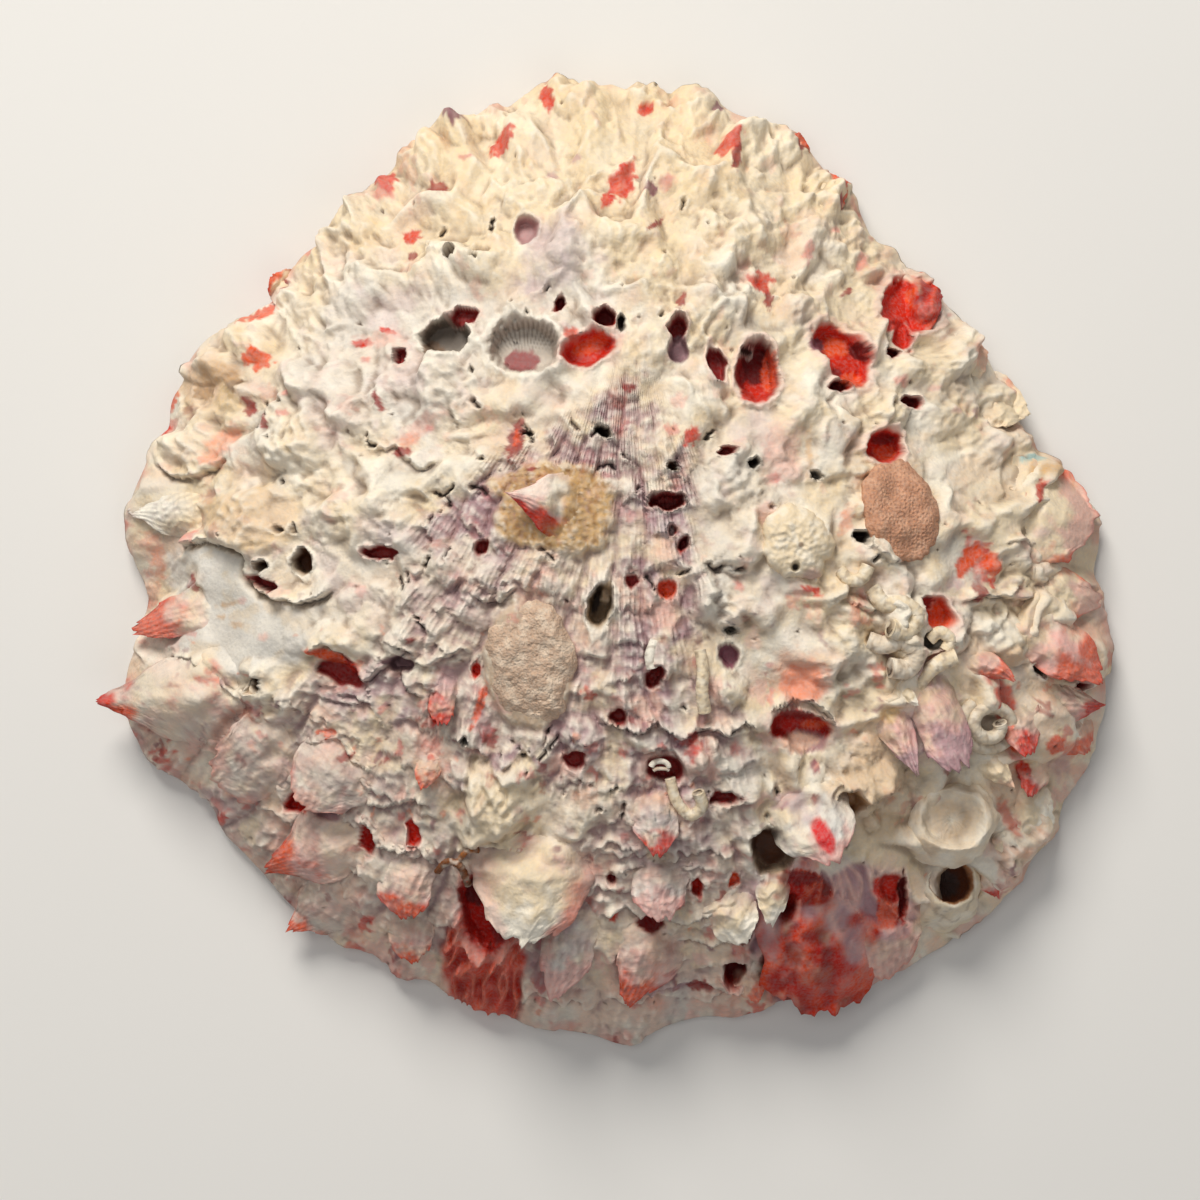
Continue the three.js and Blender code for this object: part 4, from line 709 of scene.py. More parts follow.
    # worm bores filled near-black: painted shade in the holes
    for pts, width in BORES:
        xs, ys = [c[0] for c in pts], [c[1] for c in pts]
        m = (p > min(xs) - 12) & (p < max(xs) + 12) & (q > min(ys) - 12) & (q < max(ys) + 12)
        d, side = polyline(p[m] + 1.6 * noise(p[m], q[m], 5, 98), q[m] + 1.6 * noise(p[m], q[m], 5, 99), pts)
        col[m] = mix(col[m], srgb(30, 20, 18), 0.92 * smooth(0.8 * width + 0.2, width * 0.35, d))
    # painted shade in the fine worm pricks
    col = mix(col, srgb(76, 54, 42), 0.8 * prick)
    return np.clip(col, 0.002, 1)


def _noise01(p, q, scale, seed):
    return 0.5 + 0.5 * noise(p, q, scale, seed)


# ---------------------------------------------------------------- meshes
def new_object(name, verts_mm, faces, colour=None, smooth_faces=True, extra=None, flat_faces=None):
    """A mesh piece from arrays: vertices in mm, faces as lists of indices, and linear colour per vertex."""
    me = bpy.data.meshes.new(name)
    verts = np.asarray(verts_mm, float) * MM
    if isinstance(faces, np.ndarray):
        n, k = faces.shape
        me.vertices.add(len(verts))
        me.vertices.foreach_set('co', verts.ravel())
        me.loops.add(n * k)
        me.loops.foreach_set('vertex_index', faces.astype(np.int32).ravel())
        me.polygons.add(n)
        me.polygons.foreach_set('loop_start', np.arange(0, n * k, k, dtype=np.int32))
        me.update(calc_edges=True)
    else:
        me.from_pydata(verts.tolist(), [], faces)
    me.validate()
    if smooth_faces:
        me.polygons.foreach_set('use_smooth', np.ones(len(me.polygons), bool))
    if colour is not None:
        at = me.color_attributes.new('Tint', 'FLOAT_COLOR', 'POINT')
        rgba = np.ones((len(verts), 4))
        rgba[:, :3] = colour
        at.data.foreach_set('color', rgba.ravel())
    for key, values in (extra or {}).items():
        at = me.attributes.new(key, 'FLOAT', 'POINT')
        at.data.foreach_set('value', np.asarray(values, float).ravel())
    me.update()
    ob = bpy.data.objects.new(name, me)
    bpy.context.scene.collection.objects.link(ob)
    return ob


M_TOP = 212          # rings of the skin from beak to rim, each way
M_ALL = 216          # with the three rings of the rim's wall and foot


def disc_grid(m):
    """Square grid indices (-m..m) turned into ring fraction and angle."""
    i = np.arange(-m, m + 1)
    gx, gy = np.meshgrid(i, i, indexing='xy')
    k = np.maximum(np.abs(gx), np.abs(gy))
    ks = np.maximum(k, 1)
    phi = np.where(np.abs(gx) >= np.abs(gy),
                   np.where(gx > 0, math.pi / 4 * gy / ks, math.pi - math.pi / 4 * gy / -np.where(gx < 0, ks, -ks) * -1),
                   0.0)
    right = (gx > 0) & (np.abs(gy) <= gx)
    left = (gx < 0) & (np.abs(gy) <= -gx)
    up = (gy > 0) & (np.abs(gx) < gy)
    down = (gy < 0) & (np.abs(gx) < -gy)
    phi = np.zeros(gx.shape)
    phi[right] = (math.pi / 4 * gy / ks)[right]
    phi[up] = (math.pi / 2 - math.pi / 4 * gx / ks)[up]
    phi[left] = (math.pi - math.pi / 4 * gy / ks)[left]
    phi[down] = (-math.pi / 2 + math.pi / 4 * gx / ks)[down]
    return k, phi


ARC_U = np.linspace(0, 1, 4001)
ARC_L = np.concatenate([[0], np.cumsum(np.hypot(np.diff(72 * ARC_U), np.diff(dome_u(ARC_U))))])
ARC_L = ARC_L / ARC_L[-1]


def even_u(s):
    """Ring position whose distance along the dome is the share `s` of the whole."""
    return np.interp(s, ARC_L, ARC_U)


def rim_radius(u, phi):
    w = smooth(0.72, 1.0, u)
    # small lumps and nicks, invented, so that the margin isn't a smooth line
    lumps = (0.42 * np.sin(13 * phi + 1.9 * np.sin(3 * phi) + 0.7) + 0.36 * np.sin(23 * phi + 1.4 * np.sin(5 * phi + 1.0))
             + 0.28 * np.sin(37 * phi + 2.1 * np.sin(4 * phi + 2.0)) + 0.16 * np.sin(61 * phi + 1.7 * np.sin(7 * phi)))
    return ring(EDGE_RADII, phi) + w * lumps


def inside_height(u, phi):
    """Height of the hollow side over the table, mm."""
    z = (DOME_HEIGHT + EDGE - WALL) * (1 - np.clip(u / REST_IN, 0, 1) ** 2.2) ** 0.8
    hinge = smooth(0.50, 0.38, np.abs(phi - math.pi / 2)) * smooth(0.66, 0.74, u)
    return z * (1 - hinge) + np.minimum(z, 5.5) * hinge


def unit(v):
    return v / np.maximum(np.linalg.norm(v, axis=-1, keepdims=True), 1e-12)


def grid_normals(P):
    """Normals of a grid of points, rows by columns."""
    du = np.gradient(P, axis=1)
    dv = np.gradient(P, axis=0)
    return unit(np.cross(du, dv))


def skin_surface():
    k, phi = disc_grid(M_ALL)
    s = np.clip(k / M_TOP, 0, 1)
    u = even_u(s)
    R = rim_radius(u, phi)
    z = dome_u(u)
    P0 = np.stack([CX + u * R * np.cos(phi), CY + u * R * np.sin(phi), z], -1)
    # direction of growth: the dome's own normal, leaning up a little
    e = 1e-3
    ua, ub = np.clip(u - e, 0, 1), np.clip(u + e, 0, 0.999)
    slope = (dome_u(ub) - dome_u(ua)) / np.maximum((ub - ua) * R, 1e-6)
    slope = np.clip(slope, -2.2, 0)
    N = unit(np.stack([-slope * np.cos(phi), -slope * np.sin(phi), np.ones_like(u)], -1))
    N = unit(N * 0.8 + np.array([0, 0, 0.2]))
    p, q = to_chart(P0[..., 0], P0[..., 1], P0[..., 2])
    h, cover, ribs, riblet, bead, prick, o, o2, plate, tanp = relief(p, q, u)
    edge_fade = 1 - 0.30 * smooth(0.955, 1.0, u)
    h = h * edge_fade - 1.0
    P = P0 + N * np.maximum(h, 0)[..., None]
    P[..., 2] += np.minimum(h, 0)
    # keep clear of the hollow side
    floor = inside_height(u, phi) + 1.9
    thin = u < 0.9
    P[..., 2] = np.where(thin, np.maximum(P[..., 2], floor), P[..., 2])
    P[..., 2] = np.maximum(P[..., 2], 1.2)
    # wall of the rim and its foot
    for extra, (uu, zz) in {1: (0.996, 0.75), 2: (0.988, 0.15), 3: (0.972, 0.0), 4: (0.95, 0.25)}.items():
        m = k == M_TOP + extra
        Rr = rim_radius(np.full(m.sum(), 1.0), phi[m])
        flute = 1 - 0.006 * (0.5 + 0.5 * np.cos(phi[m] * 105)) * (extra < 3)
        P[m] = np.stack([CX + uu * flute * Rr * np.cos(phi[m]), CY + uu * flute * Rr * np.sin(phi[m]), np.full(m.sum(), zz)], -1)
    # concavity: the height less its own blur
    def blur(a, n):
        for _ in range(n):
            a = (np.pad(a, ((1, 1), (0, 0)), 'edge')[:-2] + np.pad(a, ((1, 1), (0, 0)), 'edge')[2:] + 2 * a) / 4
            a = (np.pad(a, ((0, 0), (1, 1)), 'edge')[:, :-2] + np.pad(a, ((0, 0), (1, 1)), 'edge')[:, 2:] + 2 * a) / 4
        return a
    cavity = 0.45 * (blur(h, 4) - h) * 1.6 + 0.5 * (blur(h, 24) - h) * 0.55
    col = paint(p, q, u, h, cover, ribs, riblet, bead, prick, o, o2, plate, tanp, cavity, None)
    foot = k > M_TOP
    inner = srgb(226, 190, 176)
    col[foot] = mix(col[foot], inner, np.full(foot.sum(), 0.7) * ((k[foot] - M_TOP) / 4.0))
    return k, phi, u, P, p, q, h, col, np.maximum.reduce([cover, o, o2, plate, tanp, smooth(0.93, 0.90, u) * 0 + smooth(110, 60, np.hypot(p - BEAK[0], q - BEAK[1]))]), cavity


def skin_piece(name, half, k, phi, P, N, col, cover):
    """One half of the skin (half = 1 back, -1 front) as a closed solid with a coarse underside."""
    m = M_ALL
    rows = np.arange(m, 2 * m + 1) if half > 0 else np.arange(0, m + 1)
    top = P[rows]
    nr, nc = top.shape[:2]
    ids = np.arange(nr * nc).reshape(nr, nc)
    quads = np.stack([ids[:-1, :-1], ids[:-1, 1:], ids[1:, 1:], ids[1:, :-1]], -1).reshape(-1, 4)
    # split each quad along its shorter diagonal
    V = top.reshape(-1, 3)
    d1 = np.linalg.norm(V[quads[:, 0]] - V[quads[:, 2]], axis=1)
    d2 = np.linalg.norm(V[quads[:, 1]] - V[quads[:, 3]], axis=1)
    a = quads[d1 <= d2]
    b = quads[d1 > d2]
    tris = np.concatenate([a[:, [0, 1, 2]], a[:, [0, 2, 3]], b[:, [0, 1, 3]], b[:, [1, 2, 3]]])
    # underside
    F = 6
    crow, ccol = np.arange(0, nr, F), np.arange(0, nc, F)
    cu = np.clip(even_u(np.clip(k[rows][np.ix_(crow, ccol)] / M_TOP, 0, 1)), 0, 1)
    cp = phi[rows][np.ix_(crow, ccol)]
    R = rim_radius(cu, cp)
    under = np.stack([CX + cu * R * np.cos(cp), CY + cu * R * np.sin(cp), inside_height(cu, cp) + 0.8], -1)
    edge_ring = k[rows][np.ix_(crow, ccol)] == M_ALL
    cid = np.full(edge_ring.shape, -1)
    cid[~edge_ring] = nr * nc + np.arange((~edge_ring).sum())
    cid[edge_ring] = ids[np.ix_(crow, ccol)][edge_ring]
    below = under[~edge_ring]
    fans = []

    def fan(loop):
        loop = [v for i, v in enumerate(loop) if v != loop[i - 1]]
        for i in range(1, len(loop) - 1):
            fans.append((loop[0], loop[i], loop[i + 1]))

    cr, cc = edge_ring.shape
    cut = 0 if half > 0 else cr - 1
    for r in range(cr - 1):
        for c in range(cc - 1):
            # corners anticlockwise seen from above: (r,c) (r,c+1) (r+1,c+1) (r+1,c)
            corners = [(r, c), (r, c + 1), (r + 1, c + 1), (r + 1, c)]
            loop = []
            for n in range(4):
                (r1, c1), (r2, c2) = corners[n], corners[(n + 1) % 4]
                loop.append(('v', cid[r1, c1], (r1, c1)))
                if edge_ring[r1, c1] and edge_ring[r2, c2] and (r1 in (0, cr - 1) and r1 == r2 and r1 != cut or c1 in (0, cc - 1) and c1 == c2):
                    for t in range(1, F):
                        loop.append(('f', ids[r1 * F + (r2 - r1) * t, c1 * F + (c2 - c1) * t], None))
            start = next((i for i, v in enumerate(loop) if v[0] == 'v' and not edge_ring[v[2]]), 0)
            order = [v[1] for v in loop[start:] + loop[:start]]
            fan(order[:1] + order[1:][::-1])
    # wall along the cut
    trow = 0 if half > 0 else nr - 1
    for c in range(cc - 1):
        lower = [cid[cut, c], cid[cut, c + 1]]
        upper = [ids[trow, c * F + t] for t in range(F, -1, -1)]
        loop = lower + upper
        seen = []
        for v in loop:
            if v not in seen:
                seen.append(v)
        if c == 0:
            i = seen.index(cid[cut, 1])
            seen = seen[i:] + seen[:i]
        if half < 0:
            seen = seen[:1] + seen[1:][::-1]
        for i in range(1, len(seen) - 1):
            fans.append((seen[0], seen[i], seen[i + 1]))
    wall_n = 0
    verts = np.concatenate([V, below])
    faces = np.concatenate([tris, np.array(fans)])
    tint = np.concatenate([col[rows].reshape(-1, 3), np.tile(srgb(232, 218, 206), (len(below), 1))])
    live = np.concatenate([cover[rows].ravel(), np.ones(len(below))])
    ob = new_object(name, verts, faces, tint, extra={'Lime': live})
    me = ob.data
    flags = np.ones(len(me.polygons), bool)
    flags[len(tris):] = False
    me.polygons.foreach_set('use_smooth', flags)
    normals = np.zeros((len(verts), 3))
    normals[:nr * nc] = N[rows].reshape(-1, 3)
    me.normals_split_custom_set_from_vertices(normals.tolist())
    return ob


def inner_piece():
    """The hollow side: porcelain white with a coral band, teeth, ligament pit and muscle scar."""
    m = 108
    k, phi = disc_grid(m)
    s = k / m
    u = 0.985 * even_u(s)
    rest = u >= REST_IN
    R = rim_radius(np.minimum(u, 1.0), phi)
    R = ring(EDGE_RADII, phi) * 0.35 + R * 0.65
    X, Y = CX + u * R * np.cos(phi), CY + u * R * np.sin(phi)
    Z = inside_height(u, phi)
    # fine flutes at the margin, growth rings, the scar
    flute = np.cos(phi * 96 + 1.2 * np.sin(phi * 5))
    Z = Z + 0.16 * flute * smooth(0.80, 0.90, u) * smooth(0.985, 0.94, u)
    Z = Z + 0.05 * fbm(X, Y, 9, 601, 3) * smooth(0.94, 0.85, u)
    sx, sy = X - 20.0, Y + 3.0
    scar = np.hypot(sx / 13.5, sy / 15.5) + 0.04 * noise(X, Y, 5, 602)
    Z = Z + 0.45 * smooth(1.04, 0.97, scar) - 0.2 * np.exp(-((scar - 1.05) / 0.05) ** 2)
    pallial = np.exp(-((u - 0.80) / 0.012) ** 2) * smooth(0.6, 0.8, np.abs(phi - math.pi / 2))
    Z = Z + 0.18 * pallial
    # hinge: pit between two knobbed teeth
    hx, hy = X - CX, Y - (CY + 0.80 * 66)
    pit = np.hypot(hx / 4.2, (hy + 1.0) / 5.5)
    tooth = [np.hypot((hx - sgn * 9.5) / 4.4, hy / 3.8) for sgn in (-1, 1)]
    sock = [np.hypot((hx - sgn * 17.5) / 3.6, hy / 3.6) for sgn in (-1, 1)]
    hinge_zone = smooth(0.48, 0.40, np.abs(phi - math.pi / 2)) * smooth(0.68, 0.74, u)
    Z = Z + hinge_zone * 1.6 * smooth(1.0, 0.4, pit)
    for t in tooth:
        Z = Z - hinge_zone * 4.3 * np.clip(1 - t ** 2, 0, 1) ** 0.7
    for t in sock:
        Z = Z + hinge_zone * 2.2 * smooth(1.0, 0.4, t)
    foot = smooth(0.925, 0.935, u)
    Z = np.where(u > 0.93, np.maximum(Z, 0.02 + 0.12 * (0.5 + 0.5 * flute) * smooth(0.985, 0.95, u)), Z)
    Z = np.maximum(Z, 0.02)
    last = k == m
    face = np.stack([X, Y, Z], -1)
    back = face.copy()
    back[..., 2] = inside_height(u, phi) + 1.1
    back[..., 2] = np.maximum(back[..., 2], Z + 0.45)
    n = 2 * m + 1
    ids = np.arange(n * n).reshape(n, n)
    quads = np.stack([ids[:-1, :-1], ids[1:, :-1], ids[1:, 1:], ids[:-1, 1:]], -1).reshape(-1, 4)
    F = 6
    cr = np.arange(0, n, F)
    cb = back[np.ix_(cr, cr)]
    edge_ring = k[np.ix_(cr, cr)] == m
    cid = np.full(edge_ring.shape, -1)
    cid[~edge_ring] = n * n + np.arange((~edge_ring).sum())
    cid[edge_ring] = ids[np.ix_(cr, cr)][edge_ring]
    fans = []
    c = len(cr)
    for a in range(c - 1):
        for b in range(c - 1):
            corners = [(a, b), (a, b + 1), (a + 1, b + 1), (a + 1, b)]
            loop = []
            for t in range(4):
                (r1, c1), (r2, c2) = corners[t], corners[(t + 1) % 4]
                loop.append((cid[r1, c1], (r1, c1)))
                if edge_ring[r1, c1] and edge_ring[r2, c2] and (r1 in (0, c - 1) and r1 == r2 or c1 in (0, c - 1) and c1 == c2):
                    for f in range(1, F):
                        loop.append((ids[r1 * F + (r2 - r1) * f, c1 * F + (c2 - c1) * f], None))
            start = next((i for i, v in enumerate(loop) if v[1] is not None and not edge_ring[v[1]]), 0)
            order = [v[0] for v in loop[start:] + loop[:start]]
            for i in range(1, len(order) - 1):
                fans.append((order[0], order[i], order[i + 1]))
    verts = np.concatenate([face.reshape(-1, 3), cb[~edge_ring]])
    tris = np.concatenate([quads[:, [0, 1, 2]], quads[:, [0, 2, 3]], np.array(fans)])
    col = np.zeros(u.shape + (3,)) + srgb(238, 232, 222)
    col = mix(col, srgb(222, 210, 196), 0.5 * smooth(0.0, 0.5, fbm(X, Y, 26, 611, 3)))
    col = mix(col, srgb(228, 196, 180), 0.6 * smooth(0.74, 0.84, u))
    col = mix(col, srgb(206, 96, 74), 0.8 * smooth(0.85, 0.925, u) * (0.75 + 0.25 * flute))
    col = mix(col, srgb(160, 60, 52), 0.5 * smooth(0.93, 0.975, u) * smooth(-0.2, 0.4, fbm(X, Y, 12, 612)))
    col = mix(col, srgb(206, 190, 170), 0.55 * smooth(1.02, 0.98, scar))
    col = mix(col, srgb(180, 150, 122), 0.6 * np.exp(-((scar - 1.04) / 0.04) ** 2))
    col = mix(col, srgb(200, 178, 154), 0.5 * pallial)
    col = mix(col, srgb(176, 120, 82), 0.5 * hinge_zone)
    col = mix(col, srgb(88, 54, 34), 0.85 * hinge_zone * smooth(1.0, 0.5, pit))
    for t in tooth:
        col = mix(col, srgb(240, 232, 220), 0.85 * hinge_zone * smooth(1.0, 0.7, t))
    tint = np.concatenate([col.reshape(-1, 3), np.tile(srgb(236, 228, 216), ((~edge_ring).sum(), 1))])
    ob = new_object('inner_porcelain', verts, tris, tint)
    return ob


# ---------------------------------------------------------------- materials
def fine_ribs(nt, co, hsv, bsdf):
    """Thread-fine beaded ribs fanning from the beak, where the crust is thin: a height, and painted shade and highlight
    that follow it.
    """
    def node(kind, *values, op=None, name=None):
        n = nt.nodes.new('ShaderNode' + kind)
        if op:
            n.operation = op
        if name:
            n.name = name
        for i, v in enumerate(values):
            if isinstance(v, (int, float)):
                n.inputs[i].default_value = v
            elif v is not None:
                nt.links.new(v, n.inputs[i])
        return n

    sep = node('SeparateXYZ', co.outputs['Object'])
    wob = node('TexNoise')
    nt.links.new(co.outputs['Object'], wob.inputs['Vector'])
    wob.inputs['Scale'].default_value = 160
    off = node('Math', wob.outputs['Fac'], -0.5, op='ADD')
    # the place the ribs fan from, worked out on the dome
    hx, hy = from_chart(np.array([float(BEAK[0])]), np.array([float(BEAK[1])]), 1.0)
    dx = node('Math', sep.outputs['X'], -float(hx[0]) * MM, op='ADD')
    dyy = node('Math', float(hy[0]) * MM, sep.outputs['Y'], op='SUBTRACT')
    ang = node('Math', dx.outputs[0], dyy.outputs[0], op='ARCTAN2')
    thread = node('Math', ang.outputs[0], 56 * 7 / TAU, op='MULTIPLY')
    thread2 = node('Math', off.outputs[0], 2.6, thread.outputs[0], op='MULTIPLY_ADD')
    turns = node('Math', thread2.outputs[0], TAU, op='MULTIPLY')
    wave = node('Math', turns.outputs[0], op='COSINE')
    crest = node('Math', wave.outputs[0], 0.5, 0.5, op='MULTIPLY_ADD')
    who = node('Math', thread2.outputs[0], op='ROUND')
    whit = node('Math', who.outputs[0], 12.9898, op='MULTIPLY')
    sine = node('Math', whit.outputs[0], op='SINE')
    rnd = node('Math', sine.outputs[0], 7.31, op='MULTIPLY')
    x2 = node('Math', dx.outputs[0], dx.outputs[0], op='MULTIPLY')
    r2 = node('Math', dyy.outputs[0], dyy.outputs[0], x2.outputs[0], op='MULTIPLY_ADD')
    rad = node('Math', r2.outputs[0], op='SQRT')
    beads = node('Math', rad.outputs[0], 1 / 0.00100, rnd.outputs[0], op='MULTIPLY_ADD')
    saw = node('Math', beads.outputs[0], op='FRACT')
    lift = node('Math', saw.outputs[0], 0.6, 0.4, op='MULTIPLY_ADD')
    bead = node('Math', crest.outputs[0], lift.outputs[0], op='MULTIPLY')
    lime_at = node('Attribute')
    lime_at.attribute_name = 'Lime'
    bald = node('MapRange', lime_at.outputs['Fac'], 0.35, 0.85, 1.0, 0.0)
    worn = node('TexNoise')
    nt.links.new(co.outputs['Object'], worn.inputs['Vector'])
    worn.inputs['Scale'].default_value = 190
    worn.inputs['Detail'].default_value = 3
    kept = node('MapRange', worn.outputs['Fac'], 0.42, 0.58, 0.15, 1.0)
    bare = node('Math', bald.outputs['Result'], kept.outputs['Result'], op='MULTIPLY')
    height = node('Math', bead.outputs[0], bare.outputs[0], op='MULTIPLY', name='rib_height')
    # painted highlight on the crests, painted shade in the grooves
    tone = node('MapRange', bead.outputs[0], 0.05, 0.7, 0.86, 1.07)
    calm = node('Math', tone.outputs['Result'], -1.0, op='ADD')
    amount = node('Math', calm.outputs[0], bare.outputs[0], 1.0, op='MULTIPLY_ADD')
    old = hsv.inputs['Value'].links[0].from_socket
    both = node('Math', old, amount.outputs[0], op='MULTIPLY')
    nt.links.new(both.outputs[0], hsv.inputs['Value'])


def material(name, rough, specular, bump, grain, mottled=0.16, fine=0.10, coat=0.0, ribs=False):
    """Tinted by the piece's own colours, then broken up with grain in object space and a fine bump."""
    mat = bpy.data.materials.new(name)
    mat.use_nodes = True
    nt = mat.node_tree
    nt.nodes.clear()
    add = nt.nodes.new
    out, bsdf = add('ShaderNodeOutputMaterial'), add('ShaderNodeBsdfPrincipled')
    nt.links.new(bsdf.outputs['BSDF'], out.inputs['Surface'])
    tint = add('ShaderNodeAttribute'); tint.attribute_name = 'Tint'
    co = add('ShaderNodeTexCoord')
    n1 = add('ShaderNodeTexNoise'); n1.inputs['Scale'].default_value = grain; n1.inputs['Detail'].default_value = 6; n1.inputs['Roughness'].default_value = 0.65
    n2 = add('ShaderNodeTexNoise'); n2.inputs['Scale'].default_value = grain * 7; n2.inputs['Detail'].default_value = 3
    vor = add('ShaderNodeTexVoronoi'); vor.inputs['Scale'].default_value = grain * 4.2
    for t in (n1, n2, vor):
        nt.links.new(co.outputs['Object'], t.inputs['Vector'])
    hsv = add('ShaderNodeHueSaturation')
    nt.links.new(tint.outputs['Color'], hsv.inputs['Color'])
    r1 = add('ShaderNodeMapRange')
    r1.inputs['From Min'].default_value, r1.inputs['From Max'].default_value = 0.3, 0.7
    r1.inputs['To Min'].default_value, r1.inputs['To Max'].default_value = 1 - mottled, 1 + mottled * 0.6
    nt.links.new(n1.outputs['Fac'], r1.inputs['Value'])
    r2 = add('ShaderNodeMapRange')
    r2.inputs['From Min'].default_value, r2.inputs['From Max'].default_value = 0.3, 0.7
    r2.inputs['To Min'].default_value, r2.inputs['To Max'].default_value = 1 - fine, 1 + fine
    nt.links.new(n2.outputs['Fac'], r2.inputs['Value'])
    mul = add('ShaderNodeMath'); mul.operation = 'MULTIPLY'
    nt.links.new(r1.outputs['Result'], mul.inputs[0])
    nt.links.new(r2.outputs['Result'], mul.inputs[1])
    nt.links.new(mul.outputs[0], hsv.inputs['Value'])
    r3 = add('ShaderNodeMapRange')
    r3.inputs['From Min'].default_value, r3.inputs['From Max'].default_value = 0.3, 0.7
    r3.inputs['To Min'].default_value, r3.inputs['To Max'].default_value = 0.9, 1.12
    nt.links.new(n2.outputs['Fac'], r3.inputs['Value'])
    nt.links.new(r3.outputs['Result'], hsv.inputs['Saturation'])
    nt.links.new(hsv.outputs['Color'], bsdf.inputs['Base Color'])
    rr = add('ShaderNodeMapRange')
    rr.inputs['From Min'].default_value, rr.inputs['From Max'].default_value = 0.25, 0.75
    rr.inputs['To Min'].default_value, rr.inputs['To Max'].default_value = max(rough - 0.1, 0.05), min(rough + 0.1, 1)
    nt.links.new(n1.outputs['Fac'], rr.inputs['Value'])
    nt.links.new(rr.outputs['Result'], bsdf.inputs['Roughness'])
    bsdf.inputs['Specular IOR Level'].default_value = specular
    bsdf.inputs['Coat Weight'].default_value = coat
    bsdf.inputs['Coat Roughness'].default_value = 0.25
    if ribs:
        fine_ribs(nt, co, hsv, bsdf)
    hmix = add('ShaderNodeMath'); hmix.operation = 'MULTIPLY_ADD'
    nt.links.new(vor.outputs['Distance'], hmix.inputs[0])
    hmix.inputs[1].default_value = 0.55
    nt.links.new(n2.outputs['Fac'], hmix.inputs[2])
    bmp = add('ShaderNodeBump')
    bmp.inputs['Strength'].default_value = 1.0
    bmp.inputs['Distance'].default_value = bump * MM
    nt.links.new(hmix.outputs[0], bmp.inputs['Height'])
    if ribs:
        rb = add('ShaderNodeBump')
        rb.inputs['Strength'].default_value = 1.0
        rb.inputs['Distance'].default_value = 0.17 * MM
        nt.links.new(nt.nodes['rib_height'].outputs[0], rb.inputs['Height'])
        nt.links.new(bmp.outputs['Normal'], rb.inputs['Normal'])
        bmp = rb
    nt.links.new(bmp.outputs['Normal'], bsdf.inputs['Normal'])
    return mat


SHELL = material('shell_lime', 0.66, 0.32, 0.10, 300, 0.10, 0.05, ribs=True)
SCALE = material('shell_scale', 0.62, 0.32, 0.08, 320, 0.10, 0.05)
PORCELAIN = material('porcelain', 0.32, 0.45, 0.03, 120, 0.05, 0.03, coat=0.15)
BARNACLE = material('barnacle_lime', 0.66, 0.30, 0.08, 300, 0.10, 0.05)
CUP = material('cup_lime', 0.62, 0.32, 0.08, 300, 0.10, 0.05)
TUBE = material('tube_lime', 0.66, 0.30, 0.08, 320, 0.12, 0.06)
TUBE_BROWN = material('tube_horn', 0.5, 0.4, 0.10, 500, 0.24, 0.12)
CRUST_TAN = material('crust_tan', 0.85, 0.2, 0.18, 500, 0.14, 0.10)
CRUST_BEIGE = material('crust_grains', 0.88, 0.18, 0.22, 520, 0.14, 0.10)


def dress(ob, mat, slot, *nodes):
    ob.data.materials.clear()
    ob.data.materials.append(mat)
    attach(ob, 'root')
    if nodes:
        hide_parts(*nodes)
    return ob


k, phi, u, P, p, q, h, tint, cover, cavity = skin_surface()
N = grid_normals(P)
N[N[..., 2] < -0.2] *= 1
for sign, name in ((1, 'skin_back'), (-1, 'skin_front')):
    dress(skin_piece(name, sign, k, phi, P, N, tint, cover), SHELL, 'shell', 'valve')
dress(inner_piece(), PORCELAIN, 'shell', 'valve')


